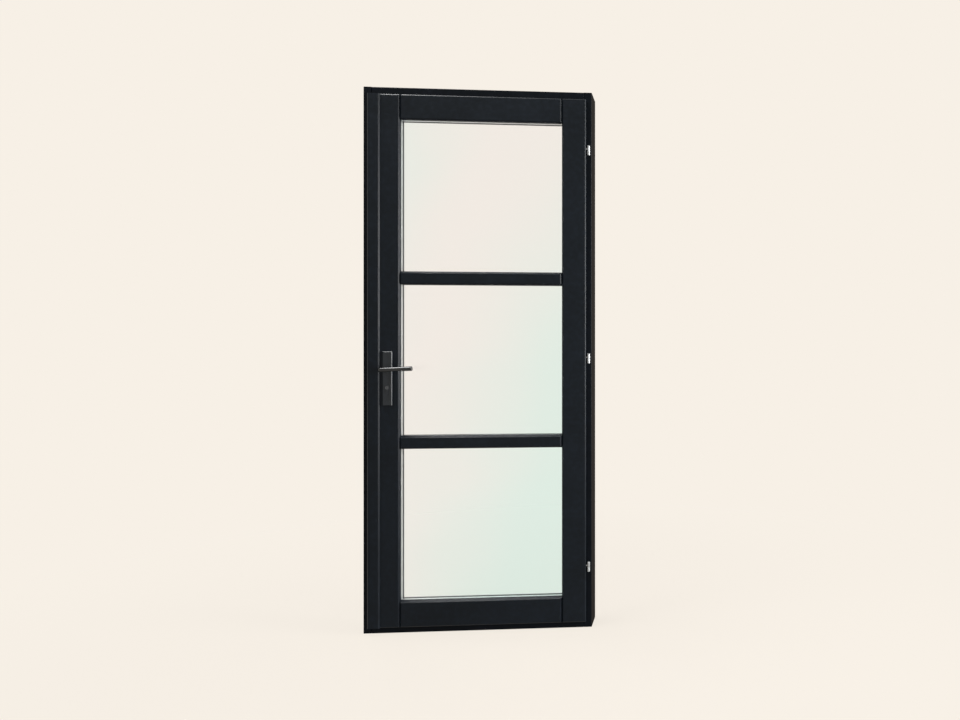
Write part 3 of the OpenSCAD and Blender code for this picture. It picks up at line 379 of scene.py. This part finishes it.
def float_glass():
    """Clear glass whose tint, a painted reflection, grows slowly from a neutral band to either side."""
    material, tree, output = new_material("coated float glass with painted reflection")
    place = add_node(tree, "ShaderNodeTexCoord").outputs["Object"]
    run = gradient_end - gradient_start
    from_start = add_node(
        tree, "ShaderNodeVectorMath", {"operation": "SUBTRACT", 1: gradient_start}, {0: place}
    )
    share = add_node(
        tree, "ShaderNodeVectorMath", {"operation": "DOT_PRODUCT", 1: run / run.length_squared},
        {0: from_start.outputs["Vector"]},
    )
    streak = add_node(
        tree, "ShaderNodeTexNoise", {"Scale": pattern_scale(streak_mm), "Detail": 1.0}, {"Vector": place}
    )
    wander = add_node(
        tree, "ShaderNodeMapRange", {"To Min": -streak_share, "To Max": streak_share},
        {"Value": streak.outputs["Fac"]},
    )
    uneven = add_node(
        tree, "ShaderNodeMath", {"operation": "ADD"}, {0: share.outputs["Value"], 1: wander.outputs[0]}
    )
    off_band = add_node(tree, "ShaderNodeMath", {"operation": "ABSOLUTE"}, {0: uneven.outputs[0]})
    tint_share = add_node(
        tree, "ShaderNodeMapRange", {"interpolation_type": "SMOOTHSTEP"}, {"Value": off_band.outputs[0]}
    )
    # the tint paints the sky's reflection in bands across the panes
    tint = add_node(
        tree, "ShaderNodeMix",
        {"data_type": "RGBA", 6: linear(glass_clear_hex), 7: linear(painted_reflection_mint_hex)},
        {0: tint_share.outputs[0]},
    )
    glass = add_node(
        tree, "ShaderNodeBsdfPrincipled", {"Roughness": 0.0, "IOR": mirror_index, "Transmission Weight": 1.0},
        {"Base Color": tint.outputs[2]},
    )
    clear = add_node(tree, "ShaderNodeBsdfTransparent")
    path = add_node(tree, "ShaderNodeLightPath")
    shown = add_node(
        tree, "ShaderNodeMixShader", None,
        {"Fac": path.outputs["Is Shadow Ray"], 1: glass.outputs[0], 2: clear.outputs[0]},
    )
    tree.links.new(shown.outputs[0], output.inputs["Surface"])
    return material


pane_glass = float_glass()
print("glass:", pane_glass.name)

# %% [markdown]
# The fittings are die-cast zinc under a satin black powder coat. Powder flows out while it bakes and
# leaves a soft skin like orange peel. Hands polish it a little, so its roughness wanders. The levers are
# touched most, so they are darker and smoother and show the light from above as one bright line.

# %% Satin black powder coat
plate_coat_hexes = ("#14171a", "#1f2327")
lever_coat_hexes = ("#0d0f11", "#181a1d")
peel_mm = 1.2       # real orange peel is about 0.5 mm, drawn coarser so that a close view shows it
peel_depth_mm = 0.05
peel_relief = 0.12
handling_mm = 18.0
coat_index = 1.5


def powder_coat(name, hexes, gloss, smoothest, roughest):
    """Baked black powder on castings, rougher where hands have not polished it."""
    material, tree, output = new_material(name)
    place = add_node(tree, "ShaderNodeTexCoord").outputs["Object"]
    peel = add_node(
        tree, "ShaderNodeTexNoise", {"Scale": pattern_scale(peel_mm), "Detail": 1.0}, {"Vector": place}
    )
    handling = add_node(
        tree, "ShaderNodeTexNoise", {"Scale": pattern_scale(handling_mm), "Detail": 3.0}, {"Vector": place}
    )
    sheen = add_node(
        tree, "ShaderNodeMapRange", {"To Min": smoothest, "To Max": roughest},
        {"Value": handling.outputs["Fac"]},
    )
    colour = add_node(
        tree, "ShaderNodeMix",
        {"data_type": "RGBA", 6: linear(hexes[0]), 7: linear(hexes[1])},
        {0: handling.outputs["Fac"]},
    )
    relief = add_node(
        tree, "ShaderNodeBump", {"Strength": peel_relief, "Distance": peel_depth_mm * MM},
        {"Height": peel.outputs["Fac"]},
    )
    coat = add_node(
        tree, "ShaderNodeBsdfPrincipled", {"IOR": coat_index, "Specular IOR Level": gloss},
        {"Base Color": colour.outputs[2], "Roughness": sheen.outputs[0], "Normal": relief.outputs[0]},
    )
    tree.links.new(coat.outputs[0], output.inputs["Surface"])
    return material


fitting_black = powder_coat(
    "satin black powder coat", plate_coat_hexes, gloss=0.25, smoothest=0.24, roughest=0.42
)
handled_black = powder_coat(
    "black powder coat polished by hands", lever_coat_hexes, gloss=0.4, smoothest=0.12, roughest=0.22
)
print("coats:", fitting_black.name, "and", handled_black.name)

# %% [markdown]
# Four bare metals are left: zinc-plated steel in the lock, satin nickel on the hinges, burnished dark brass
# on the cylinder's plug, and the mill finish of the aluminium spacers. One function makes them, because
# they differ only in colour, roughness and the fine lines that rolling, turning or brushing leaves.

# %% Plated steel, satin nickel, dark brass and spacer aluminium
stain_mm = 25.0
line_depth_mm = 0.02
line_relief = 0.1
smoother, rougher = 0.06, 0.08      # how far the lines change the roughness


def bare_metal(name, hex_code, dull_hex, roughness, line_mm, stretch):
    """Metal with fine lines drawn out along the axis that has the small number in stretch."""
    material, tree, output = new_material(name)
    place = add_node(tree, "ShaderNodeTexCoord").outputs["Object"]
    along = add_node(tree, "ShaderNodeMapping", {"Scale": stretch}, {"Vector": place})
    lines = add_node(
        tree, "ShaderNodeTexNoise", {"Scale": pattern_scale(line_mm), "Detail": 2.0},
        {"Vector": along.outputs["Vector"]},
    )
    stain = add_node(
        tree, "ShaderNodeTexNoise", {"Scale": pattern_scale(stain_mm), "Detail": 3.0}, {"Vector": place}
    )
    colour = add_node(
        tree, "ShaderNodeMix",
        {"data_type": "RGBA", 6: linear(hex_code), 7: linear(dull_hex)}, {0: stain.outputs["Fac"]},
    )
    sheen = add_node(
        tree, "ShaderNodeMapRange", {"To Min": roughness - smoother, "To Max": roughness + rougher},
        {"Value": lines.outputs["Fac"]},
    )
    relief = add_node(
        tree, "ShaderNodeBump", {"Strength": line_relief, "Distance": line_depth_mm * MM},
        {"Height": lines.outputs["Fac"]},
    )
    metal = add_node(
        tree, "ShaderNodeBsdfPrincipled", {"Metallic": 1.0},
        {"Base Color": colour.outputs[2], "Roughness": sheen.outputs[0], "Normal": relief.outputs[0]},
    )
    tree.links.new(metal.outputs[0], output.inputs["Surface"])
    return material


plated_steel = bare_metal(
    "zinc-plated steel", "#a4a8ab", "#858b90", roughness=0.38, line_mm=0.8, stretch=(1, 1, 0.03)
)
satin_nickel = bare_metal(
    "satin nickel", "#9da0a2", "#878b8e", roughness=0.42, line_mm=0.5, stretch=(1, 1, 1)
)
dark_brass = bare_metal(
    "burnished dark brass", "#5c5f63", "#484b4f", roughness=0.3, line_mm=0.4, stretch=(1, 0.05, 1)
)
spacer_metal = bare_metal(
    "mill aluminium", "#d6d8d8", "#c8cbcb", roughness=0.4, line_mm=1.0, stretch=(0.05, 1, 0.05)
)
print("metals:", plated_steel.name, satin_nickel.name, dark_brass.name, spacer_metal.name)

# %% [markdown]
# Seals are extruded rubber, matt and slightly dusty. The setting blocks are moulded plastic with a fine
# spark-eroded texture. Both are dull, non-metallic and finely grained, so one function serves.

# %% Seal rubber and moulded plastic
dust_mm = 30.0
dust_spread = 0.08      # how far dust changes the roughness
texture_depth_mm = 0.05
texture_relief = 0.2
moulding_index = 1.5
moulding_gloss = 0.3


def dull_moulding(name, hex_code, dusty_hex, roughness, grain_size_mm):
    """Rubber or plastic with a fine grain and a little dust."""
    material, tree, output = new_material(name)
    place = add_node(tree, "ShaderNodeTexCoord").outputs["Object"]
    fine = add_node(
        tree, "ShaderNodeTexNoise", {"Scale": pattern_scale(grain_size_mm), "Detail": 2.0}, {"Vector": place}
    )
    dust = add_node(
        tree, "ShaderNodeTexNoise", {"Scale": pattern_scale(dust_mm), "Detail": 4.0}, {"Vector": place}
    )
    colour = add_node(
        tree, "ShaderNodeMix",
        {"data_type": "RGBA", 6: linear(hex_code), 7: linear(dusty_hex)}, {0: dust.outputs["Fac"]},
    )
    sheen = add_node(
        tree, "ShaderNodeMapRange", {"To Min": roughness - dust_spread, "To Max": roughness + dust_spread},
        {"Value": dust.outputs["Fac"]},
    )
    relief = add_node(
        tree, "ShaderNodeBump", {"Strength": texture_relief, "Distance": texture_depth_mm * MM},
        {"Height": fine.outputs["Fac"]},
    )
    dull = add_node(
        tree, "ShaderNodeBsdfPrincipled", {"IOR": moulding_index, "Specular IOR Level": moulding_gloss},
        {"Base Color": colour.outputs[2], "Roughness": sheen.outputs[0], "Normal": relief.outputs[0]},
    )
    tree.links.new(dull.outputs[0], output.inputs["Surface"])
    return material


seal_rubber = dull_moulding(
    "extruded seal rubber", "#141516", "#1f2021", roughness=0.68, grain_size_mm=0.8
)
block_plastic = dull_moulding(
    "moulded block plastic", "#47524d", "#55605b", roughness=0.5, grain_size_mm=0.6
)
print("mouldings:", seal_rubber.name, block_plastic.name)

# %% [markdown]
# Every solid of the door now takes its finish. The record already sorts the pieces by material slot, so
# the finish follows the slot. Timber needs one more look: whether a piece belongs to the frame or the
# leaf, and whether its grain runs up or across.

# %% Dress the solids
finish_of_slot = {
    "clear_glass": pane_glass,
    "spacer_aluminium": spacer_metal,
    "seal_rubber": seal_rubber,
    "black_fitting": fitting_black,
    "lock_steel": plated_steel,
    "plug_brass": dark_brass,
    "hinge_steel": satin_nickel,
    "block_plastic": block_plastic,
}
paint_of_timber = {
    "lock_jamb": jamb_paint, "hinge_jamb": jamb_paint, "frame_head": head_paint, "threshold": head_paint,
    "lock_stile": stile_paint, "hinge_stile": stile_paint, "cover_strip": stile_paint,
    "top_rail": rail_paint, "bottom_rail": rail_paint, "upper_bar": rail_paint, "lower_bar": rail_paint,
}
for pane in ("lower", "middle", "upper"):
    paint_of_timber["cross_beads_" + pane] = cross_bead_paint
    paint_of_timber["upright_beads_" + pane] = upright_bead_paint

for subpart in frame["record"]["subparts"]:
    name = subpart["node"]
    finish = finish_of_slot.get(subpart["material_slot"]) or paint_of_timber[name]
    nodes[name].data.materials.clear()
    nodes[name].data.materials.append(finish)

# %% [markdown]
# Every new piece is modelled alone. An operator acts on all that is selected, so everything is deselected
# first. At the end the faces are turned outwards, the piece's place goes into its mesh, as with the solids,
# and round parts are shaded smooth while sharp edges stay.

# %% Starting and finishing a piece
smooth_angle_deg = 35


def start_piece():
    """Select nothing, so that the next operator acts on the new piece alone."""
    bpy.ops.object.select_all(action="DESELECT")


def finish_piece(name):
    """Close the piece that is being edited: normals out, place in its mesh, smooth where it is round."""
    bpy.ops.mesh.select_all(action="SELECT")
    bpy.ops.mesh.normals_make_consistent(inside=False)
    bpy.ops.object.mode_set(mode="OBJECT")
    piece = bpy.context.object
    piece.name = name
    bpy.ops.object.transform_apply(location=True, rotation=True, scale=True)
    bpy.ops.object.shade_smooth_by_angle(angle=math.radians(smooth_angle_deg))
    return piece


print("edges stay sharp above", smooth_angle_deg, "degrees")

# %% [markdown]
# Handles, hinge barrels, screws and rollers are all turned or cast to a round section. A lathe works from a
# profile, and so does this helper: a filled circle is pushed along its axis step by step and widened or
# narrowed at each step. Spinning an outline would do the same, but would leave a seam and two poles to close.

# %% A lathe
turned_sides = 48


def turned(name, start, along, profile):
    """Turn a bar round the line from start along an axis. The profile lists distances and diameters in mm."""
    start, along = Vector(start), Vector(along)
    (distance, diameter), *steps = profile
    start_piece()
    bpy.ops.mesh.primitive_circle_add(
        vertices=turned_sides, radius=diameter * MM / 2, fill_type="NGON",
        location=start + along * distance * MM, rotation=along.to_track_quat("Z", "Y").to_euler(),
        enter_editmode=True,
    )
    for next_distance, next_diameter in steps:
        push = along * (next_distance - distance) * MM
        bpy.ops.mesh.extrude_region_move(TRANSFORM_OT_translate={"value": push})
        bpy.ops.transform.resize(
            value=(next_diameter / diameter,) * 3, center_override=start + along * next_distance * MM
        )
        distance, diameter = next_distance, next_diameter
    return finish_piece(name)


print("lathe ready, sides:", turned_sides)

# %% [markdown]
# Some pieces are round about two axes, such as a lever's bar and its neck. Each part is turned by itself, and
# a boolean joins the two or cuts one out of the other. A finished piece then takes its finish, the body that
# it moves with and the solids that it stands for.

# %% Joining, cutting and installing
def combine(piece, other, operation):
    """Add another piece to this one, or cut it out, and drop the other."""
    start_piece()
    piece.select_set(True)
    bpy.context.view_layer.objects.active = piece
    bpy.ops.object.modifier_add(type="BOOLEAN")
    joint = piece.modifiers[-1]
    joint.operation = operation
    joint.solver = "EXACT"
    joint.object = other
    bpy.ops.object.modifier_apply(modifier=joint.name)
    bpy.data.objects.remove(other)
    bpy.ops.object.shade_smooth_by_angle(angle=math.radians(smooth_angle_deg))


def install(piece, body, slot, finish, *replaced):
    """Give a finished piece its finish, its body and the nodes that it stands for."""
    piece.data.materials.clear()
    piece.data.materials.append(finish)
    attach(piece, body)
    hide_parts(*replaced)
    print(piece.name, "faces:", len(piece.data.polygons))


print("joining and installing ready")

# %% [markdown]
# The outside lever is a cast bar on a tapered neck. Its free end has a turned cap behind a fine groove, and
# its other end is rounded over. It slopes up a little, as a sprung lever does. Bar and neck are turned one
# after the other and joined, because each is round about its own axis.

# %% Outside lever
spindle = Vector(joints["lever_turn"]["pos_m"])
grip_slope = math.radians(2.2)
grip_back_mm, grip_mm, grip_end_mm = 14, 15, 17.5
round_angles = [math.radians(a) for a in (12, 25, 38, 52, 66, 80, 90)]
lever_low, lever_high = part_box("outer_lever")
grip_axis = Vector((spindle.x, lever_low.y + grip_end_mm * MM / 2, spindle.z))
grip_round = [
    (-grip_back_mm + grip_mm / 2 * (1 - math.cos(a)), grip_mm * math.sin(a)) for a in round_angles
]
grip_bar = [
    (40, 16), (100, 17.35), (100.3, 16.5), (100.9, 16.5), (101.2, 17.4),
    (104.8, 17.5), (106.2, 16.6), (107, 14.6),
]
outer_lever = turned(
    "outer_lever_cast", grip_axis, (math.cos(grip_slope), 0, math.sin(grip_slope)), grip_round + grip_bar
)
neck_start = Vector((spindle.x, lever_high.y, spindle.z))
neck_reach = (neck_start.y - grip_axis.y) / MM
neck_profile = [(0, 18), (9.4, 18), (9.7, 17.2), (10.3, 17.2), (10.6, 17.9), (neck_reach, 14.8)]
outer_neck = turned("outer_neck", neck_start, (0, -1, 0), neck_profile)
combine(outer_lever, outer_neck, "UNION")
install(outer_lever, "lever", "black_fitting", handled_black, "outer_lever")

# %% [markdown]
# The inside lever is double-ended, an olive, as espagnolettes have had for a long time. It stands upright
# while the outside lever lies level, and so clears the frame when the leaf swings. Its bulge is one arc,
# worked out from its height and its two diameters.

# %% Inside olive
olive_h_mm, olive_mm, olive_end_mm = 66, 20, 11
olive_steps = 16
olive_round_mm = 2.5
half = olive_h_mm / 2
bulge = (olive_mm - olive_end_mm) / 2
arc = (half ** 2 + bulge ** 2) / (2 * bulge)
olive_low, olive_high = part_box("inner_lever")
olive_middle = Vector((spindle.x, olive_high.y - olive_mm * MM / 2, spindle.z))
step = 2 * (half - olive_round_mm) / olive_steps
heights = [olive_round_mm - half + i * step for i in range(olive_steps + 1)]
olive_body = [(z, olive_mm - 2 * (arc - math.sqrt(arc ** 2 - z ** 2))) for z in heights]
tip_shares = [(0, 0.45), (0.15, 0.68), (0.4, 0.86), (0.7, 0.96)]
olive_foot = [(s * olive_round_mm - half, d * olive_body[0][1]) for s, d in tip_shares]
olive_crown = [(-z, d) for z, d in reversed(olive_foot)]
inner_lever = turned("inner_lever_olive", olive_middle, (0, 0, 1), olive_foot + olive_body + olive_crown)
inner_start = Vector((spindle.x, olive_low.y, spindle.z))
inner_reach = (olive_middle.y - inner_start.y) / MM
inner_profile = [
    (0, 18), (9.4, 18), (9.7, 17.2), (10.3, 17.2), (10.6, 17.9),
    (inner_reach - 10, 15.6), (inner_reach, 14.8),
]
inner_neck = turned("inner_neck", inner_start, (0, 1, 0), inner_profile)
combine(inner_lever, inner_neck, "UNION")
install(inner_lever, "lever", "black_fitting", handled_black, "inner_lever")

# %% [markdown]
# Drill-in hinges are turned barrels with a screwed arm. The outer end of each barrel is domed and the inner
# end is slightly chamfered, so the parting between the two shows as a fine line. The arm's height is read
# from the solid: its points are the ones that lie away from the barrel's axis.

# %% Hinge barrels
hinge_axis = Vector(joints["leaf_swing"]["pos_m"])
barrel_mm = 11
arm_mm = 5
outside_share = 0.6     # of the barrel's diameter, past which a point belongs to the arm


def arm_points(name):
    """Points of a hinge solid that lie outside its barrel."""
    clear = barrel_mm * MM * outside_share
    return [
        vertex.co for vertex in nodes[name].data.vertices
        if math.hypot(vertex.co.x - hinge_axis.x, vertex.co.y - hinge_axis.y) > clear
    ]


def hinge_barrel(name, dome_up, arm_along):
    """A domed barrel with its arm, modelled over the solid of that name."""
    low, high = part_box(name)
    length = (high.z - low.z) / MM
    start_z, along_z = (low.z, 1) if dome_up else (high.z, -1)
    profile = [
        (0, barrel_mm - 1.2), (0.5, barrel_mm - 0.1), (0.8, barrel_mm), (length - 3.2, barrel_mm),
        (length - 2.9, barrel_mm - 0.5), (length - 2.5, barrel_mm - 0.5), (length - 2.2, barrel_mm),
        (length - 1.6, barrel_mm - 0.2), (length - 0.8, barrel_mm - 2), (length - 0.2, barrel_mm - 5),
        (length, barrel_mm - 8),
    ]
    barrel = turned(name + "_barrel", (hinge_axis.x, hinge_axis.y, start_z), (0, 0, along_z), profile)
    points = arm_points(name)
    arm_z = (min(p.z for p in points) + max(p.z for p in points)) / 2
    direction = Vector(arm_along)
    reach = max((p - hinge_axis).dot(direction) for p in points) / MM
    arm = turned(
        name + "_arm", (hinge_axis.x, hinge_axis.y, arm_z), direction,
        [(0, arm_mm), (reach - 2, arm_mm), (reach, arm_mm - 2)],
    )
    combine(barrel, arm, "UNION")
    return barrel


for height in ("bottom", "middle", "top"):
    leaf_part = "upper_knuckle_" + height
    frame_part = "lower_knuckle_" + height
    leaf_barrel = hinge_barrel(leaf_part, dome_up=True, arm_along=(-1, 0, 0))
    install(leaf_barrel, "leaf", "hinge_steel", satin_nickel, leaf_part)
    frame_barrel = hinge_barrel(frame_part, dome_up=False, arm_along=(0, 1, 0))
    install(frame_barrel, "frame", "hinge_steel", satin_nickel, frame_part)

# %% [markdown]
# The solids tell where each screw and each roller sits. Several are kept in one node, and they stand one
# above another, so gaps in height part them. That is surer than writing their places down a second time.

# %% Parting the solids of a node
screw_gap_mm = 3


def solids_along_z(name, gap_mm):
    """Boxes of the separate solids in a node, which stand one above another with gaps between them."""
    corners = sorted((vertex.co for vertex in nodes[name].data.vertices), key=lambda point: point.z)
    groups = [[corners[0]]]
    for point in corners[1:]:
        if point.z - groups[-1][-1].z > gap_mm * MM:
            groups.append([])
        groups[-1].append(point)
    boxes = []
    for group in groups:
        low = Vector([min(point[i] for point in group) for i in range(3)])
        high = Vector([max(point[i] for point in group) for i in range(3)])
        boxes.append((low, high))
    return boxes


print("screws at the lock edge:", len(solids_along_z("edge_screws", screw_gap_mm)))

# %% [markdown]
# A countersunk screw is a cone on a shank with a cross pressed into its head. The shank is turned like the
# other round pieces, and the cross is cut by two thin tapered bars, as the punch that forms it is shaped.

# %% One countersunk screw
recess_bar_mm = 0.9
recess_taper = 0.45
recess_span_share = 0.55    # of the head's diameter
recess_depth_share = 0.7    # of the head's height
facing_cosine = 0.9         # above this a face looks along the screw


def cross_recess(screw, face, along, span_mm, depth_mm):
    """Cut a cross into the head at face. The screw runs along an axis."""
    up = Vector((0, 0, 1))
    for across in (up, along.cross(up)):
        thin = along.cross(across)
        sizes = [
            abs(across[i]) * span_mm + abs(thin[i]) * recess_bar_mm + abs(along[i]) * depth_mm * 2
            for i in range(3)
        ]
        start_piece()
        bpy.ops.mesh.primitive_cube_add(size=MM, location=face, enter_editmode=True)
        bpy.ops.transform.resize(value=sizes, center_override=face)
        bpy.ops.mesh.select_mode(type="FACE")
        bpy.ops.mesh.select_all(action="DESELECT")
        bpy.ops.object.mode_set(mode="OBJECT")
        for polygon in bpy.context.object.data.polygons:
            polygon.select = polygon.normal.dot(along) > facing_cosine
        bpy.ops.object.mode_set(mode="EDIT")
        bpy.ops.transform.resize(value=(recess_taper,) * 3, center_override=face + along * depth_mm * MM)
        combine(screw, finish_piece("recess_bar"), "DIFFERENCE")


def countersunk_screw(name, face, along, length_mm, shank_mm, head_mm, head_h_mm):
    """A screw whose head lies flush at face."""
    profile = [
        (0, head_mm - 0.6), (0.15, head_mm - 0.35), (head_h_mm, shank_mm),
        (length_mm - 4, shank_mm), (length_mm, shank_mm * 0.3),
    ]
    screw = turned(name, face, along, profile)
    cross_recess(screw, face, along, head_mm * recess_span_share, head_h_mm * recess_depth_share)
    return screw


print("screw with a recess bar of", recess_bar_mm, "mm ready")

# %% [markdown]
# One screw is modelled for each kind, and the others are copies with meshes of their own. All screws of a
# kind are joined to one piece, because they are one node and move with one body.

# %% Rows of screws
def copies_joined(model, first_face, faces):
    """Copies of a model at further places, joined with it to one piece."""
    pieces = [model]
    for face in faces:
        copy = model.copy()
        copy.data = model.data.copy()
        copy.location = face - first_face
        bpy.context.collection.objects.link(copy)
        pieces.append(copy)
    start_piece()
    for piece in pieces:
        piece.select_set(True)
    bpy.context.view_layer.objects.active = model
    bpy.ops.object.transform_apply(location=True, rotation=True, scale=True)
    bpy.ops.object.join()
    return model


def screw_row(node, name, along, shank_mm, head_mm, head_h_mm):
    """All screws of a node, each with its head where the solid has it."""
    along = Vector(along)
    axis = max(range(3), key=lambda i: abs(along[i]))
    faces = []
    for low, high in solids_along_z(node, screw_gap_mm):
        face = (low + high) / 2
        face[axis] = low[axis] if along[axis] > 0 else high[axis]
        faces.append(face)
    length_mm = (high[axis] - low[axis]) / MM
    first = countersunk_screw(name, faces[0], along, length_mm, shank_mm, head_mm, head_h_mm)
    print(name, "screws:", len(faces), "length:", round(length_mm, 2))
    return copies_joined(first, faces[0], faces[1:])


edge_screws = screw_row(
    "edge_screws", "edge_screws_recessed", (1, 0, 0), shank_mm=4, head_mm=8, head_h_mm=2.4
)
install(edge_screws, "leaf", "lock_steel", plated_steel, "edge_screws")
strike_screws = screw_row(
    "strike_screws", "strike_screws_recessed", (-1, 0, 0), shank_mm=4, head_mm=8, head_h_mm=1.9
)
install(strike_screws, "frame", "lock_steel", plated_steel, "strike_screws")
plate_screws = screw_row(
    "plate_screws", "plate_screws_recessed", (0, -1, 0), shank_mm=5, head_mm=9, head_h_mm=3
)
install(plate_screws, "leaf", "black_fitting", fitting_black, "plate_screws")

# %% [markdown]
# The roller cams are steel studs with a loose roller. A real roller has rounded rims and a shallow groove
# that tells it from the stud's head, so the profile has both.

# %% Roller cams
stud_mm = 6
roller_mm = 10
roller_l_mm = 6.5
cam_gap_mm = 20

cam_boxes = solids_along_z("roller_cams", cam_gap_mm)
cam_faces = [Vector((high.x, (low.y + high.y) / 2, (low.z + high.z) / 2)) for low, high in cam_boxes]
cam_l_mm = (cam_boxes[0][1].x - cam_boxes[0][0].x) / MM
rim = cam_l_mm - roller_l_mm
cam_profile = [
    (0, stud_mm), (rim, stud_mm), (rim + 0.05, roller_mm - 1), (rim + 0.5, roller_mm),
    (rim + 3.4, roller_mm), (rim + 3.8, roller_mm - 0.8), (rim + 4.2, roller_mm - 0.8),
    (rim + 4.6, roller_mm), (cam_l_mm - 0.6, roller_mm), (cam_l_mm, roller_mm - 1.6),
]
first_cam = turned("roller_cams_turned", cam_faces[0], (-1, 0, 0), cam_profile)
roller_cams = copies_joined(first_cam, cam_faces[0], cam_faces[1:])
install(roller_cams, "drive_bar", "lock_steel", plated_steel, "roller_cams")

# %% [markdown]
# The thumb turn is cast in one with its round base. Its blade is a block whose long edges are rounded
# almost to a half circle and whose rim is softened, so that it feels smooth between two fingers.

# %% Thumb turn
turn_base_mm, turn_base_t_mm = 20, 3
blade_t_mm, blade_h_mm = 8, 26
blade_root_mm = 1.5     # how deep the blade sits in its base
blade_round_mm = blade_t_mm / 2 - 0.2
rim_round_mm = 1.4
long_edge_mm = 5        # edges that run further than this along Y are the blade's long ones
at_rim_mm = 0.1


def bevel_edges(test, width_mm, segments):
    """Round the edges of the piece being edited whose two ends pass a test."""
    bpy.ops.mesh.select_mode(type="EDGE")
    bpy.ops.mesh.select_all(action="DESELECT")
    bpy.ops.object.mode_set(mode="OBJECT")
    piece = bpy.context.object
    for edge in piece.data.edges:
        edge.select = test(*(piece.matrix_world @ piece.data.vertices[i].co for i in edge.vertices))
    bpy.ops.object.mode_set(mode="EDIT")
    bpy.ops.mesh.bevel(offset=width_mm * MM, segments=segments, affect="EDGES")


turn_low, turn_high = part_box("thumb_turn")
cylinder_axis = Vector(joints["key_turn"]["pos_m"])
turn_base = turned(
    "turn_base", (cylinder_axis.x, turn_low.y, cylinder_axis.z), (0, 1, 0),
    [(0, turn_base_mm), (turn_base_t_mm - 1.2, turn_base_mm), (turn_base_t_mm - 0.3, turn_base_mm - 1),
     (turn_base_t_mm, turn_base_mm - 3)],
)
blade_y0 = turn_low.y + (turn_base_t_mm - blade_root_mm) * MM
blade_l_mm = (turn_high.y - blade_y0) / MM
blade_middle = Vector((cylinder_axis.x, (blade_y0 + turn_high.y) / 2, cylinder_axis.z))
start_piece()
bpy.ops.mesh.primitive_cube_add(size=MM, location=blade_middle, enter_editmode=True)
bpy.ops.transform.resize(value=(blade_t_mm, blade_l_mm, blade_h_mm), center_override=blade_middle)
bevel_edges(lambda a, b: abs(a.y - b.y) > long_edge_mm * MM, blade_round_mm, segments=8)
bevel_edges(lambda a, b: min(a.y, b.y) > turn_high.y - at_rim_mm * MM, rim_round_mm, segments=3)
thumb_turn = finish_piece("thumb_turn_cast")
combine(thumb_turn, turn_base, "UNION")
install(thumb_turn, "turn", "black_fitting", fitting_black, "thumb_turn")

# %% [markdown]
# Seals are extruded strips, mitred at the corners. A strip could be swept along a path, but a ring that is
# inset from a plane of its outer size has true mitres from the start. The plane is inset to the strip's
# width, opened in the middle and pushed out.

# %% Helpers for mitred rings
def flat_ring(low, high, back_y, width_mm):
    """Start a flat ring in the plane y = back_y, between a rectangle and the same rectangle inset."""
    middle = Vector(((low.x + high.x) / 2, back_y, (low.z + high.z) / 2))
    start_piece()
    bpy.ops.mesh.primitive_plane_add(
        size=1, location=middle, rotation=(math.radians(90), 0, 0), enter_editmode=True
    )
    bpy.ops.transform.resize(value=(high.x - low.x, 1, high.z - low.z), center_override=middle)
    bpy.ops.mesh.inset(thickness=width_mm * MM, depth=0)
    bpy.ops.mesh.delete(type="FACE")
    bpy.ops.mesh.select_all(action="SELECT")


def push_out(distance):
    """Push the selected ring along Y."""
    bpy.ops.mesh.extrude_region_move(TRANSFORM_OT_translate={"value": (0, distance, 0)})


def level_rim(y):
    """A test for the straight edges of a ring that lie in the plane of this y."""
    near = 0.01 * MM

    def on_rim(a, b):
        flat = abs(a.y - y) < near and abs(b.y - y) < near
        return flat and (abs(a.x - b.x) < near or abs(a.z - b.z) < near)

    return on_rim


print("ring helpers ready")

# %% [markdown]
# The glazing seal has a rounded lip against the glass, and the frame's seal has a flat foot with a bulb on
# it that the leaf presses. Both start as the same kind of ring. A second inset makes the step from foot to
# bulb.

# %% Rubber seals
glazing_seal_w_mm = 11.5
lip_round_mm = 1.2
frame_seal_w_mm = 8
foot_mm = 1.2
bulb_inset_mm = 1.4
bulb_round_mm = 2.0

for pane in ("lower", "middle", "upper"):
    seal_name = "glazing_seal_" + pane
    seal_low, seal_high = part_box(seal_name)
    flat_ring(seal_low, seal_high, seal_high.y, glazing_seal_w_mm)
    push_out(seal_low.y - seal_high.y)
    bevel_edges(level_rim(seal_low.y), lip_round_mm, segments=4)
    install(finish_piece(seal_name + "_lip"), "leaf", "seal_rubber", seal_rubber, seal_name)

seal_low, seal_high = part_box("frame_seal")
flat_ring(seal_low, seal_high, seal_high.y, frame_seal_w_mm)
push_out(-foot_mm * MM)
bpy.ops.mesh.inset(thickness=bulb_inset_mm * MM, depth=0)
push_out(seal_low.y - seal_high.y + foot_mm * MM)
bevel_edges(level_rim(seal_low.y), bulb_round_mm, segments=5)
install(finish_piece("frame_seal_bulb"), "frame", "seal_rubber", seal_rubber, "frame_seal")
